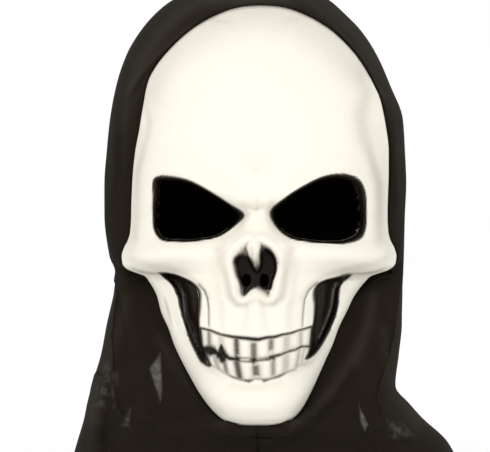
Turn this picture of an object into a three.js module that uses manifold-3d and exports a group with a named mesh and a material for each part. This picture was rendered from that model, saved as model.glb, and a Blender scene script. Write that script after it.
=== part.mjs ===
import * as THREE from 'three';
import { mergeVertices } from 'three/addons/utils/BufferGeometryUtils.js';
import Module from 'manifold-3d';

// A moulded skull mask on a thin cloth hood, in millimetres. +Z is up, the face looks along -Y,
// and the origin is the inside of the hood's crown, where the head carries it.

// The mask
const MASK_HEIGHT = 235.5;      // chin to the top of the forehead
const MASK_WIDTH = 159;         // across the cheekbone knobs
const FACE_DEPTH = 105;         // from the crown's upright axis forward to the teeth
const MASK_WALL = 1.5;
const DOME_RISE = 41.8;         // height of the forehead's round top above its two shoulders
const CROWN_RISE = 19;          // crown seat above the top of the mask

// Its openings, recesses and teeth
const SOCKET_WIDTH = 52.5;
const SOCKET_HEIGHT = 37.5;
const SOCKETS_APART = 15.2;     // between the two inner corners
const SOCKET_FOOT = 100.8;      // lower edge above the chin
const SOCKET_DEPTH = 9;
const NOSE_WIDTH = 24.2;
const NOSE_HEIGHT = 32.5;
const NOSE_FOOT = 69.8;
const NOSE_DEPTH = 12;
const NOSTRIL_WIDTH = 5.8;
const NOSTRIL_HEIGHT = 7.8;
const NOSTRILS_APART = 10.6;    // between the two centres
const NOSTRIL_CENTRE = 80;      // centre above the chin
const CHEEK_WIDTH = 24.7;
const CHEEK_HEIGHT = 50.1;
const CHEEKS_APART = 54.6;
const CHEEK_FOOT = 32.6;
const CHEEK_DEPTH = 10;
const TEETH_WIDTH = 60.6;
const UPPER_GUM = 48;           // the three lines of the teeth above the chin, on the centre line
const BITE_LINE = 36.6;
const LOWER_GUM = 25.8;
const TOOTH_RISE = 1.3;
const TOOTH_GAP = 1.1;
const TOOTH_NIP = 0.2;            // corner cut off each tooth, as a share of its width

// The hood
const HOOD_WIDTH = 178;
const HOOD_DEPTH = 212;
const HOOD_DROP = 303;          // crown to hem
const CLOTH_WALL = 1.5;
const TUCK = 6;                 // how far the cloth reaches in behind the mask's rim
const CLEARANCE = 0.35;
const TUCK_CLEARANCE = 1.0;
const BEHIND_RIM = CLEARANCE + 0.1;
const FOLD_RISE = 4;
const FOLDS_FROM = -0.2;        // folds rise from nothing to their full height between these two depths,
const FOLDS_FULL = 0.1;         // as shares of HOOD_DEPTH
const TOP_FRONT = 0.058;        // drops at which the hood's profile passes the mask's top and its chin,
const CHIN_FRONT = 0.851;       // as shares of HOOD_DROP
const CROWN_SHARE = 0.12;       // share of the rings that lie in front of the crown
const RIM_BLEND = 0.12;         // share of the rings over which the cloth leaves the rim's own line

// How finely the solids are cut
const MASK_COLUMNS = 28;
const MASK_ROWS = 30;
const HOOD_RINGS = 11;
const SOCKET_SIDES = 24;
const CHEEK_SIDES = 26;
const NOSTRIL_SIDES = 14;
const SIDE_CROWDING = 0.75;     // columns, rings and chin lines lie closer towards the rim
const RING_CROWDING = 1.4;
const FOOT_CROWDING = 1.2;

const CHIN_Z = -(CROWN_RISE + MASK_HEIGHT);
const CHIN_DEPTH_BEHIND = 10;   // the mask's bulk is closed this far behind the axis, only for cutting
const SURFACE_SINK = 0.4;       // added walls start this far under the face, inside the wall
const TOOTH_SINK = 0.7;
const SAME_POINT = 1e-4;
const CRUMB = 0.02;             // points closer than this become one after the cuts
const CHORD_STRAY = 0.25;       // the hood's columns follow the mask's rim at least this closely
const LONGEST_CHORD = 18;
const SHARPEST_MITRE = 0.6;     // an outline moved outwards keeps its corners this blunt
const DOME_POWER = 3;           // how late the forehead's round top sets in on the way up
const RIM_FADE = 4;             // how soon swellings reach their full height inwards from the rim

// Half outline of the mask from the chin's corner to the forehead's shoulder.
// height: share of MASK_HEIGHT above the chin. width: share of half of MASK_WIDTH.
// rim: share of FACE_DEPTH at which the edge lies.
const SIDE_ROWS = [
  { height: 0.000, width: 0.210, rim: 0.770 },
  { height: 0.015, width: 0.268, rim: 0.690 },
  { height: 0.032, width: 0.322, rim: 0.640 },
  { height: 0.069, width: 0.397, rim: 0.590 },
  { height: 0.106, width: 0.457, rim: 0.552 },
  { height: 0.144, width: 0.514, rim: 0.524 },
  { height: 0.182, width: 0.568, rim: 0.495 },
  { height: 0.220, width: 0.610, rim: 0.467 },
  { height: 0.258, width: 0.665, rim: 0.438 },
  { height: 0.297, width: 0.711, rim: 0.400 },
  { height: 0.335, width: 0.791, rim: 0.324 },
  { height: 0.354, width: 0.877, rim: 0.286 },
  { height: 0.374, width: 0.984, rim: 0.267 },
  { height: 0.393, width: 1.000, rim: 0.257 },
  { height: 0.413, width: 0.985, rim: 0.257 },
  { height: 0.433, width: 0.955, rim: 0.262 },
  { height: 0.452, width: 0.940, rim: 0.267 },
  { height: 0.493, width: 0.932, rim: 0.276 },
  { height: 0.569, width: 0.931, rim: 0.286 },
  { height: 0.650, width: 0.920, rim: 0.305 },
  { height: 0.707, width: 0.894, rim: 0.324 },
  { height: 0.746, width: 0.873, rim: 0.343 },
  { height: 0.784, width: 0.847, rim: 0.362 },
  { height: 0.823, width: 0.805, rim: 0.381 },
];

// The forehead's round top. across: share of the shoulder's half width. rise: share of DOME_RISE.
const DOME_ROWS = [
  { across: 0.00, rise: 1.000 },
  { across: 0.25, rise: 0.960 },
  { across: 0.42, rise: 0.855 },
  { across: 0.55, rise: 0.746 },
  { across: 0.65, rise: 0.640 },
  { across: 0.73, rise: 0.534 },
  { across: 0.80, rise: 0.428 },
  { across: 0.87, rise: 0.320 },
  { across: 0.92, rise: 0.213 },
  { across: 0.96, rise: 0.105 },
  { across: 1.00, rise: 0.000 },
];

// Profile on the centre line. depth: share of FACE_DEPTH. square: how flat the face is across.
const MIDDLE_ROWS = [
  { height: 0.000, depth: 0.880, square: 2.6 },
  { height: 0.017, depth: 0.935, square: 2.5 },
  { height: 0.050, depth: 0.975, square: 2.4 },
  { height: 0.106, depth: 0.960, square: 2.2 },
  { height: 0.153, depth: 0.990, square: 2.0 },
  { height: 0.204, depth: 0.995, square: 2.0 },
  { height: 0.255, depth: 0.978, square: 2.0 },
  { height: 0.297, depth: 0.985, square: 2.0 },
  { height: 0.425, depth: 0.990, square: 2.3 },
  { height: 0.442, depth: 0.975, square: 2.4 },
  { height: 0.480, depth: 0.935, square: 2.6 },
  { height: 0.505, depth: 0.912, square: 2.6 },
  { height: 0.527, depth: 0.948, square: 2.6 },
  { height: 0.552, depth: 0.968, square: 2.6 },
  { height: 0.586, depth: 0.957, square: 2.5 },
  { height: 0.658, depth: 0.924, square: 2.4 },
  { height: 0.764, depth: 0.867, square: 2.2 },
  { height: 0.870, depth: 0.762, square: 2.1 },
  { height: 0.943, depth: 0.648, square: 2.1 },
  { height: 0.981, depth: 0.571, square: 2.1 },
  { height: 1.000, depth: 0.505, square: 2.1 },
];

// Broad swellings and hollows, the same on both sides. across, height, wide and tall: shares of half of
// MASK_WIDTH and of MASK_HEIGHT. turn: degrees. rise: share of FACE_DEPTH.
const SWELLS = [
  { across: 0.34, height: 0.562, wide: 0.330, tall: 0.027, turn: 28, rise: 0.055 },
  { across: 0.72, height: 0.605, wide: 0.260, tall: 0.030, turn: 0, rise: 0.040 },
  { across: 0.36, height: 0.478, wide: 0.260, tall: 0.050, turn: 0, rise: -0.045 },
  { across: 0.66, height: 0.405, wide: 0.420, tall: 0.026, turn: -4, rise: 0.060 },
  { across: 0.55, height: 0.280, wide: 0.150, tall: 0.090, turn: -12, rise: -0.070 },
  { across: 0.86, height: 0.720, wide: 0.110, tall: 0.120, turn: 0, rise: -0.035 },
  { across: 0.20, height: 0.345, wide: 0.075, tall: 0.070, turn: 0, rise: 0.022 },
  { across: 0.00, height: 0.063, wide: 0.200, tall: 0.032, turn: 0, rise: 0.020 },
];

// Outlines, as shares of the width and height of what they bound.
const SOCKET_OUTLINE = [
  [0.00, 0.42], [0.145, 0.60], [0.36, 0.80], [0.57, 0.945], [0.78, 1.0], [0.94, 0.945], [1.0, 0.71],
  [1.0, 0.22], [0.92, 0.055], [0.78, 0.0], [0.50, 0.01], [0.285, 0.065], [0.14, 0.155], [0.04, 0.29],
];
const CHEEK_OUTLINE = [
  [1.0, 1.0], [0.757, 0.99], [0.514, 0.96], [0.31, 0.905], [0.17, 0.82], [0.17, 0.65], [0.19, 0.45],
  [0.15, 0.23], [0.05, 0.09], [0.02, 0.0], [0.15, 0.035], [0.27, 0.135], [0.38, 0.235], [0.51, 0.367],
  [0.62, 0.50], [0.69, 0.633], [0.733, 0.78], [0.82, 0.90],
];
const NOSE_HALF_OUTLINE = [
  [0.066, 0.87], [0.15, 0.96], [0.24, 0.955], [0.34, 0.87], [0.435, 0.755], [0.495, 0.62], [0.50, 0.53],
  [0.465, 0.405], [0.42, 0.285], [0.385, 0.16], [0.355, 0.02], [0.30, 0.0], [0.22, 0.04], [0.13, 0.10],
];
const SEPTUM_TIP = 0.53;
const SPINE_TIP = 0.16;

// Teeth from the middle outwards, as shares of half of TEETH_WIDTH, for one side.
const UPPER_TEETH = [0, 0.297, 0.587, 0.828, 1.0];
const LOWER_TEETH = [0, 0.323, 0.541, 0.739, 0.901];
// How far each line climbs towards the ends, as shares of TEETH_WIDTH.
const UPPER_GUM_CLIMB = 0.100;
const BITE_CLIMB = 0.112;
const LOWER_GUM_CLIMB = 0.150;

// The hood by height. drop: share of HOOD_DROP below the crown. left and right: shares of half of
// HOOD_WIDTH. front and back: shares of half of HOOD_DEPTH.
const HOOD_ROWS = [
  { drop: 0.000, left: 0.000, right: 0.000, front: 0.000, back: 0.000 },
  { drop: 0.020, left: 0.427, right: 0.315, front: 0.310, back: -0.340 },
  { drop: 0.038, left: 0.584, right: 0.449, front: 0.415, back: -0.472 },
  { drop: 0.069, left: 0.719, right: 0.573, front: 0.528, back: -0.623 },
  { drop: 0.101, left: 0.809, right: 0.674, front: 0.623, back: -0.736 },
  { drop: 0.148, left: 0.899, right: 0.775, front: 0.726, back: -0.849 },
  { drop: 0.210, left: 0.966, right: 0.865, front: 0.811, back: -0.934 },
  { drop: 0.274, left: 1.011, right: 0.938, front: 0.868, back: -0.981 },
  { drop: 0.336, left: 1.029, right: 0.955, front: 0.887, back: -1.000 },
  { drop: 0.399, left: 1.049, right: 0.966, front: 0.896, back: -1.000 },
  { drop: 0.462, left: 1.043, right: 0.955, front: 0.896, back: -0.972 },
  { drop: 0.541, left: 1.009, right: 0.944, front: 0.877, back: -0.896 },
  { drop: 0.572, left: 0.970, right: 0.944, front: 0.868, back: -0.858 },
  { drop: 0.604, left: 0.983, right: 0.938, front: 0.858, back: -0.821 },
  { drop: 0.667, left: 1.029, right: 0.925, front: 0.840, back: -0.755 },
  { drop: 0.729, left: 1.070, right: 0.904, front: 0.821, back: -0.717 },
  { drop: 0.792, left: 1.130, right: 0.876, front: 0.811, back: -0.726 },
  { drop: 0.824, left: 1.157, right: 0.966, front: 0.807, back: -0.745 },
  { drop: 0.855, left: 1.176, right: 1.052, front: 0.792, back: -0.774 },
  { drop: 0.906, left: 1.230, right: 1.247, front: 0.717, back: -0.830 },
  { drop: 1.000, left: 1.315, right: 1.393, front: 0.774, back: -0.925 },
];
const HOOD_SQUARE = 2.3;

// Folds of the cloth seen from the front, each a ridge from one point to the next. across: share of half of
// HOOD_WIDTH. drop: share of HOOD_DROP. rise: share of FOLD_RISE. reach: half breadth, share of HOOD_WIDTH.
const FOLDS = [
  { across: 0.76, drop: 0.60, toAcross: 0.69, toDrop: 0.70, rise: 0.8, reach: 0.040 },
  { across: 0.69, drop: 0.70, toAcross: 0.56, toDrop: 0.775, rise: 1.0, reach: 0.045 },
  { across: 0.56, drop: 0.775, toAcross: 0.36, toDrop: 0.83, rise: 1.0, reach: 0.045 },
  { across: 0.36, drop: 0.83, toAcross: 0.00, toDrop: 0.868, rise: 1.0, reach: 0.035 },
  { across: 0.00, drop: 0.868, toAcross: -0.30, toDrop: 0.822, rise: 1.0, reach: 0.035 },
  { across: -0.30, drop: 0.822, toAcross: -0.64, toDrop: 0.755, rise: 0.9, reach: 0.045 },
  { across: -0.86, drop: 0.58, toAcross: -0.72, toDrop: 0.76, rise: 0.9, reach: 0.035 },
  { across: -0.92, drop: 0.62, toAcross: -0.92, toDrop: 0.90, rise: -0.8, reach: 0.040 },
  { across: 0.90, drop: 0.66, toAcross: 0.84, toDrop: 0.86, rise: -0.8, reach: 0.045 },
  { across: 0.80, drop: 0.86, toAcross: 1.10, toDrop: 0.99, rise: 1.2, reach: 0.050 },
];

const MASK_IVORY = new THREE.MeshStandardMaterial({ color: 0xf8f4e4, roughness: 0.38, metalness: 0 });
const HOOD_BLACK = new THREE.MeshStandardMaterial({ color: 0x1c1a19, roughness: 0.9, metalness: 0 });

const wasm = await Module();
wasm.setup();

const mix = (a, b, t) => a + (b - a) * t;
const bell = (t) => Math.exp(-t * t);

function ease(from, to, t) {
  const s = Math.min(1, Math.max(0, (t - from) / (to - from)));
  return s * s * (3 - 2 * s);
}

// A smooth value between the rows of a table, without overshoot.
function along(rows, at, key, t) {
  const last = rows.length - 1;
  const up = rows[last][at] > rows[0][at] ? 1 : -1;
  let k = 0;
  while (k < last - 1 && (t - rows[k + 1][at]) * up > 0) k += 1;
  const slope = (i) => (rows[i + 1][key] - rows[i][key]) / (rows[i + 1][at] - rows[i][at]);
  const bend = (i) => {
    if (i === 0 || i === last) return slope(Math.min(i, last - 1));
    const a = slope(i - 1);
    const b = slope(i);
    return a * b <= 0 ? 0 : 2 * a * b / (a + b);
  };
  const run = rows[k + 1][at] - rows[k][at];
  const s = Math.min(1, Math.max(0, (t - rows[k][at]) / run));
  const keep = 1 + s * s * (2 * s - 3);
  const lead = s * (1 - s) * (1 - s);
  const trail = s * s * (s - 1);
  return keep * rows[k][key] + (1 - keep) * rows[k + 1][key] + run * (lead * bend(k) + trail * bend(k + 1));
}

// The face's outer surface. u runs across from -1 to 1, v from the chin at 0 to the top at 1.
function facePoint(u, v) {
  const shoulder = MASK_HEIGHT - DOME_RISE;
  const side = v * SIDE_ROWS[SIDE_ROWS.length - 1].height;
  const across = (1 - SIDE_CROWDING) * u + SIDE_CROWDING * Math.sin(u * Math.PI / 2);
  const x = across * along(SIDE_ROWS, 'height', 'width', side) * MASK_WIDTH / 2;
  const rise = along(DOME_ROWS, 'across', 'rise', Math.abs(across));
  const height = v * shoulder + DOME_RISE * rise * v ** DOME_POWER;
  const middle = (v * shoulder + DOME_RISE * v ** DOME_POWER) / MASK_HEIGHT;
  const square = along(MIDDLE_ROWS, 'height', 'square', middle);
  const share = Math.sqrt(Math.max(0, 1 - Math.abs(across) ** square));
  const rim = along(SIDE_ROWS, 'height', 'rim', side);
  const front = along(MIDDLE_ROWS, 'height', 'depth', middle);
  const depth = mix(rim, front, share) + swell(x, height) * Math.min(1, RIM_FADE * share * share);
  return new THREE.Vector3(x, -depth * FACE_DEPTH, CHIN_Z + height);
}

function swell(x, height) {
  let rise = 0;
  for (const s of SWELLS) {
    const turn = THREE.MathUtils.degToRad(s.turn);
    const dx = Math.abs(x) - s.across * MASK_WIDTH / 2;
    const dz = height - s.height * MASK_HEIGHT;
    const lengthwise = (dx * Math.cos(turn) + dz * Math.sin(turn)) / (s.wide * MASK_WIDTH / 2);
    const sideways = (dz * Math.cos(turn) - dx * Math.sin(turn)) / (s.tall * MASK_HEIGHT);
    rise += s.rise * bell(Math.hypot(lengthwise, sideways));
  }
  return rise;
}

// A grid of points, grid[row][column], with the normals of its outward side.
function gridNormals(grid, closedAcross) {
  const rows = grid.length;
  const columns = grid[0].length;
  const normals = grid.map((row) => row.map(() => new THREE.Vector3()));
  for (const [a, b, c] of gridTriangles(rows, columns, closedAcross)) {
    const [p, q, r] = [a, b, c].map((k) => grid[Math.floor(k / columns)][k % columns]);
    const face = q.clone().sub(p).cross(r.clone().sub(p));
    for (const k of [a, b, c]) normals[Math.floor(k / columns)][k % columns].add(face);
  }
  for (const row of normals) for (const n of row) n.normalize();
  return normals;
}

// Triangles of a grid, split so that no triangle lies flat in a corner.
function gridTriangles(rows, columns, closedAcross) {
  const faces = [];
  const cells = closedAcross ? columns : columns - 1;
  for (let j = 0; j < rows - 1; j += 1) {
    for (let i = 0; i < cells; i += 1) {
      const a = j * columns + i;
      const b = j * columns + (i + 1) % columns;
      const c = b + columns;
      const d = a + columns;
      const rising = (i < cells / 2) === (j < rows / 2);
      if (rising) faces.push([a, b, c], [a, c, d]);
      else faces.push([a, b, d], [b, c, d]);
    }
  }
  return faces;
}

// A closed wall between two grids of the same make, joined round their edges.
function wallBetween(outer, inner, closedAcross) {
  const rows = outer.length;
  const columns = outer[0].length;
  const points = [...outer.flat(), ...inner.flat()];
  const back = rows * columns;
  const faces = [];
  for (const [a, b, c] of gridTriangles(rows, columns, closedAcross)) {
    faces.push([a, b, c], [a + back, c + back, b + back]);
  }
  for (const loop of edgeLoops(rows, columns, closedAcross)) {
    for (let k = 0; k < loop.length; k += 1) {
      const a = loop[k];
      const b = loop[(k + 1) % loop.length];
      faces.push([b, a, a + back], [b, a + back, b + back]);
    }
  }
  return solid(points, faces);
}

// The edge of a grid as loops of point numbers, each running the way its faces turn.
function edgeLoops(rows, columns, closedAcross) {
  const first = [...Array(columns).keys()];
  const last = first.map((i) => (rows - 1) * columns + i).reverse();
  if (closedAcross) return [first, last];
  const right = [...Array(rows).keys()].map((j) => j * columns + columns - 1);
  const left = [...Array(rows).keys()].map((j) => j * columns).reverse();
  return [[...first.slice(0, -1), ...right.slice(0, -1), ...last.slice(0, -1), ...left.slice(0, -1)]];
}

function solid(points, faces) {
  const vertProperties = new Float32Array(points.flatMap((p) => [p.x, p.y, p.z]));
  const triVerts = new Uint32Array(faces.flat());
  return new wasm.Manifold(new wasm.Mesh({ numProp: 3, vertProperties, triVerts }));
}

// The face as one solid from its outer surface to a flat back, used only for cutting and trimming.
function bulkBehind(grid) {
  const back = grid.map((row) => row.map((p) => new THREE.Vector3(p.x, CHIN_DEPTH_BEHIND, p.z)));
  return wallBetween(grid, back, false);
}

// An outline of shares, laid out in mm across and above the chin.
const laidOut = (outline, width, height, left, foot) =>
  outline.map(([x, z]) => [left + x * width, foot + z * height]);

// The same outline, moved outwards all round.
function widened(outline, margin) {
  const count = outline.length;
  const area = outline.reduce((sum, [x, z], k) => {
    const [nx, nz] = outline[(k + 1) % count];
    return sum + x * nz - nx * z;
  }, 0);
  const normal = (k) => {
    const [x, z] = outline[k % count];
    const [nx, nz] = outline[(k + 1) % count];
    return new THREE.Vector2(nz - z, x - nx).normalize().multiplyScalar(Math.sign(area));
  };
  return outline.map(([x, z], k) => {
    const before = normal(k + count - 1);
    const out = before.clone().add(normal(k)).normalize();
    const reach = margin / Math.max(SHARPEST_MITRE, out.dot(before));
    return [x + out.x * reach, z + out.y * reach];
  });
}

// A straight bar along the face's depth, with an outline seen from the front. It reaches well past the face.
function bar(outline) {
  const shape = new THREE.Shape(outline.map(([x, z]) => new THREE.Vector2(x, z)));
  const depth = FACE_DEPTH * 2;
  const long = new THREE.ExtrudeGeometry(shape, { depth, bevelEnabled: false, steps: 1 });
  long.rotateX(Math.PI / 2);
  long.translate(0, depth / 4, CHIN_Z);
  long.deleteAttribute('normal');
  long.deleteAttribute('uv');
  const merged = mergeVertices(long, SAME_POINT);
  return new wasm.Manifold(new wasm.Mesh({
    numProp: 3,
    vertProperties: merged.attributes.position.array,
    triVerts: new Uint32Array(merged.index.array),
  }));
}

// A corner-rounded outline through a few points, as a closed curve.
function rounded(points, count) {
  const curve = new THREE.CatmullRomCurve3(points.map(([x, z]) => new THREE.Vector3(x, z, 0)), true,
    'centripetal');
  return curve.getSpacedPoints(count).slice(0, -1).map((p) => [p.x, p.y]);
}

const mirrored = (piece) => piece.mirror([1, 0, 0]);

// A wall round an opening or a recess: what lies within the bar, from just under the face to a depth.
function skirt(bulk, outer, depth) {
  return outer.intersect(bulk.translate([0, SURFACE_SINK, 0])).subtract(bulk.translate([0, depth, 0]));
}

function makeMask(grid) {
  const normals = gridNormals(grid, false);
  const inner = grid.map((row, j) => row.map((p, i) => p.clone().addScaledVector(normals[j][i], -MASK_WALL)));
  const bulk = bulkBehind(grid);
  let mask = wallBetween(grid, inner, false);

  const socket = laidOut(rounded(SOCKET_OUTLINE, SOCKET_SIDES), SOCKET_WIDTH, SOCKET_HEIGHT, SOCKETS_APART / 2,
    SOCKET_FOOT);
  const socketHole = bar(socket);
  const socketWall = skirt(bulk, bar(widened(socket, MASK_WALL)), SOCKET_DEPTH);

  const cheek = laidOut(rounded(CHEEK_OUTLINE, CHEEK_SIDES), CHEEK_WIDTH, CHEEK_HEIGHT, CHEEKS_APART / 2,
    CHEEK_FOOT);
  const cheekHollow = bar(cheek).subtract(bulk.translate([0, CHEEK_DEPTH, 0]));
  const cheekWall = skirt(bulk, bar(widened(cheek, MASK_WALL)), CHEEK_DEPTH + MASK_WALL);

  const noseOtherHalf = NOSE_HALF_OUTLINE.map(([x, z]) => [-x, z]).reverse();
  const nosePlace = [NOSE_WIDTH, NOSE_HEIGHT, 0, NOSE_FOOT];
  const nose = laidOut([[0, SEPTUM_TIP], ...NOSE_HALF_OUTLINE, [0, SPINE_TIP], ...noseOtherHalf], ...nosePlace);
  const noseBase = laidOut([[0, 1], ...NOSE_HALF_OUTLINE.slice(1), [0, 0], ...noseOtherHalf.slice(0, -1)],
    ...nosePlace);
  const noseHollow = bar(nose).subtract(bulk.translate([0, NOSE_DEPTH, 0]));
  const noseWall = skirt(bulk, bar(widened(noseBase, MASK_WALL)), NOSE_DEPTH + MASK_WALL);

  const ring = [...Array(NOSTRIL_SIDES).keys()].map((k) => k * 2 * Math.PI / NOSTRIL_SIDES);
  const circle = ring.map((a) => [0.5 * Math.cos(a), 0.5 * Math.sin(a)]);
  const nostril = bar(laidOut(circle, NOSTRIL_WIDTH, NOSTRIL_HEIGHT, NOSTRILS_APART / 2, NOSTRIL_CENTRE));

  for (const wall of [socketWall, cheekWall]) mask = mask.add(wall).add(mirrored(wall));
  mask = mask.add(noseWall);
  for (const hole of [socketHole, cheekHollow, nostril]) mask = mask.subtract(hole).subtract(mirrored(hole));
  mask = mask.subtract(noseHollow);

  const toothLayer = bulk.translate([0, -TOOTH_RISE, 0]).subtract(bulk.translate([0, TOOTH_SINK, 0]));
  for (const outline of toothOutlines()) {
    const tooth = bar(outline).intersect(toothLayer);
    mask = mask.add(tooth).add(mirrored(tooth));
  }
  return tidied(mask);
}

// A cut solid with its nearly equal points made one, and without the crumbs that cutting leaves.
function tidied(cut) {
  const merged = mergeVertices(geometryOf(cut), CRUMB);
  const index = merged.index.array;
  const place = merged.attributes.position;
  const points = [...Array(place.count).keys()].map((k) => new THREE.Vector3().fromBufferAttribute(place, k));
  const faces = [];
  for (let k = 0; k < index.length; k += 3) {
    const [a, b, c] = index.slice(k, k + 3);
    if (a !== b && b !== c && c !== a) faces.push([a, b, c]);
  }
  return solid(points, faces).decompose().reduce((best, body) => (body.volume() > best.volume() ? body : best));
}

// One side's teeth, upper and lower, as outlines in mm across and above the chin.
function toothOutlines() {
  const half = TEETH_WIDTH / 2;
  const line = (middle, climb) => (x) => middle + climb * TEETH_WIDTH * (x / half) ** 2;
  const gum = line(UPPER_GUM, UPPER_GUM_CLIMB);
  const bite = line(BITE_LINE, BITE_CLIMB);
  const root = line(LOWER_GUM, LOWER_GUM_CLIMB);
  const tooth = (from, to, high, low) => {
    const left = from + TOOTH_GAP / 2;
    const right = to - TOOTH_GAP / 2;
    const nip = (right - left) * TOOTH_NIP;
    const top = (x) => high(x) - TOOTH_GAP / 2;
    const foot = (x) => low(x) + TOOTH_GAP / 2;
    return [
      [left, foot(left) + nip], [left + nip, foot(left)], [right - nip, foot(right)],
      [right, foot(right) + nip], [right, top(right) - nip], [right - nip, top(right)],
      [left + nip, top(left)], [left, top(left) - nip],
    ];
  };
  const row = (shares, high, low) => shares.slice(1).map((share, k) =>
    tooth(shares[k] * half, share * half, high, low));
  return [...row(UPPER_TEETH, gum, bite), ...row(LOWER_TEETH, bite, root)];
}

// The mask's edge on one side, from the middle of the top round to the middle of the chin.
function rimColumns(grid) {
  const middle = MASK_COLUMNS / 2;
  const all = [];
  for (let i = 0; i < middle; i += 1) all.push([MASK_ROWS, middle + i]);
  for (let j = MASK_ROWS; j > 0; j -= 1) all.push([j, MASK_COLUMNS]);
  for (let i = middle; i >= 0; i -= 1) all.push([0, middle + i]);
  const at = (k) => grid[all[k][0]][all[k][1]];
  const close = (from, to) => {
    const chord = new THREE.Line3(at(from), at(to));
    const near = new THREE.Vector3();
    for (let k = from + 1; k < to; k += 1) {
      if (chord.closestPointToPoint(at(k), true, near).distanceTo(at(k)) > CHORD_STRAY) return false;
    }
    return chord.distance() < LONGEST_CHORD;
  };
  const kept = [0];
  while (kept[kept.length - 1] < all.length - 1) {
    const from = kept[kept.length - 1];
    let to = from + 1;
    while (to + 1 < all.length && close(from, to + 1)) to += 1;
    kept.push(to);
  }
  return kept.map((k) => all[k]);
}

// Half breadth of the hood at a height and depth, which closes to nothing on its profile.
function hoodHalf(z, depth, side) {
  const drop = Math.sqrt(Math.min(1, Math.max(0, (CLOTH_WALL - z) / HOOD_DROP)));
  const rows = HOOD_ROWS.map((row) => ({ ...row, root: Math.sqrt(row.drop) }));
  const half = along(rows, 'root', side, drop) * HOOD_WIDTH / 2;
  const front = along(rows, 'root', 'front', drop) * HOOD_DEPTH / 2;
  const back = along(rows, 'root', 'back', drop) * HOOD_DEPTH / 2;
  const from = (2 * depth - front - back) / (front - back || 1);
  return half * Math.max(0, 1 - Math.abs(from) ** HOOD_SQUARE) ** (1 / HOOD_SQUARE);
}

// Points of the hood's profile on the centre line, as [depth, z], from share 0 to 1 of a stretch of drops.
function profile(key, drop) {
  const rows = HOOD_ROWS.map((row) => ({ ...row, root: Math.sqrt(row.drop) }));
  return [along(rows, 'root', key, Math.sqrt(drop)) * HOOD_DEPTH / 2, CLOTH_WALL - drop * HOOD_DROP];
}

function foldRise(x, z, depth) {
  let rise = 0;
  for (const fold of FOLDS) {
    const ax = fold.across * HOOD_WIDTH / 2;
    const az = -fold.drop * HOOD_DROP;
    const bx = fold.toAcross * HOOD_WIDTH / 2 - ax;
    const bz = -fold.toDrop * HOOD_DROP - az;
    const t = Math.min(1, Math.max(0, ((x - ax) * bx + (z - az) * bz) / (bx * bx + bz * bz)));
    const away = Math.hypot(x - ax - t * bx, z - az - t * bz) / (fold.reach * HOOD_WIDTH);
    rise = Math.abs(fold.rise * bell(away)) > Math.abs(rise) ? fold.rise * bell(away) : rise;
  }
  return rise * FOLD_RISE * ease(FOLDS_FROM * HOOD_DEPTH, FOLDS_FULL * HOOD_DEPTH, depth);
}

// Where a column of the hood meets the mask: just behind the rim, and turned in behind its wall.
function rimFrame(grid, normals, columns, k) {
  const at = ([j, i]) => grid[j][i];
  const edge = at(columns[k]);
  const before = at(columns[Math.max(0, k - 1)]);
  const after = at(columns[Math.min(columns.length - 1, k + 1)]);
  const [j, i] = columns[k];
  const outward = normals[j][i];
  const onward = after.clone().sub(before).normalize();
  const inward = outward.clone().cross(onward).normalize();
  if (inward.y > 0) inward.negate();
  return { edge, outward, inward };
}

function makeHood(grid) {
  const normals = gridNormals(grid, false);
  const columns = rimColumns(grid);
  const frames = columns.map((_, k) => rimFrame(grid, normals, columns, k));
  const run = [0];
  for (let k = 1; k < frames.length; k += 1) {
    run.push(run[k - 1] + frames[k].edge.distanceTo(frames[k - 1].edge));
  }
  const shares = run.map((length) => length / run[run.length - 1]);

  const rimTop = frames[0].edge;
  const rimChin = frames[frames.length - 1].edge;

  // One side's half ring at a share of the way from the face to the hem.
  const ring = (share, side) => frames.map(({ edge, outward, inward }, k) => {
    const down = (1 - Math.cos(Math.PI * shares[k])) / 2;
    const overTop = share < CROWN_SHARE;
    const behind = (share - CROWN_SHARE) / (1 - CROWN_SHARE);
    const top = overTop ? profile('front', TOP_FRONT * (1 - share / CROWN_SHARE) ** 2)
      : profile('back', behind ** 2);
    const foot = profile('front', mix(CHIN_FRONT, 1, share ** FOOT_CROWDING));
    const fade = (1 - share) ** 2;
    const depth = mix(top[0], foot[0], down) + fade * (-edge.y - mix(-rimTop.y, -rimChin.y, down));
    const z = mix(top[1], foot[1], down) + fade * (edge.z - mix(rimTop.z, rimChin.z, down));
    const middle = k === 0 || k === frames.length - 1;
    const half = middle ? 0 : hoodHalf(z, depth, side);
    const start = edge.clone().addScaledVector(inward, -BEHIND_RIM).addScaledVector(outward, CLOTH_WALL);
    return start.lerp(new THREE.Vector3(half, -depth, z), ease(0, RIM_BLEND, share));
  });
  const tucked = (forward, out) => frames.map(({ edge, outward, inward }) =>
    edge.clone().addScaledVector(inward, forward).addScaledVector(outward, out));
  const around = (right, left) => [
    ...right,
    ...left.slice(1, -1).reverse().map((p) => new THREE.Vector3(-p.x, p.y, p.z)),
  ];

  const hem = [
    [TUCK, -MASK_WALL - TUCK_CLEARANCE],
    [0, -MASK_WALL - TUCK_CLEARANCE],
    [-BEHIND_RIM, -MASK_WALL],
  ];
  const rows = hem.map(([forward, out]) => around(tucked(forward, out), tucked(forward, out)));
  for (let k = 0; k <= HOOD_RINGS; k += 1) {
    const share = (k / HOOD_RINGS) ** RING_CROWDING;
    rows.push(around(ring(share, 'right'), ring(share, 'left')));
  }

  const smooth = gridNormals(rows, true);
  const outer = rows.map((row, j) => row.map((p, i) =>
    p.clone().addScaledVector(smooth[j][i], j <= hem.length ? 0 : foldRise(p.x, p.z, -p.y))));
  const folded = gridNormals(outer, true);
  const inner = outer.map((row, j) => row.map((p, i) => p.clone().addScaledVector(folded[j][i], -CLOTH_WALL)));
  return wallBetween(outer, inner, true);
}

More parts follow.
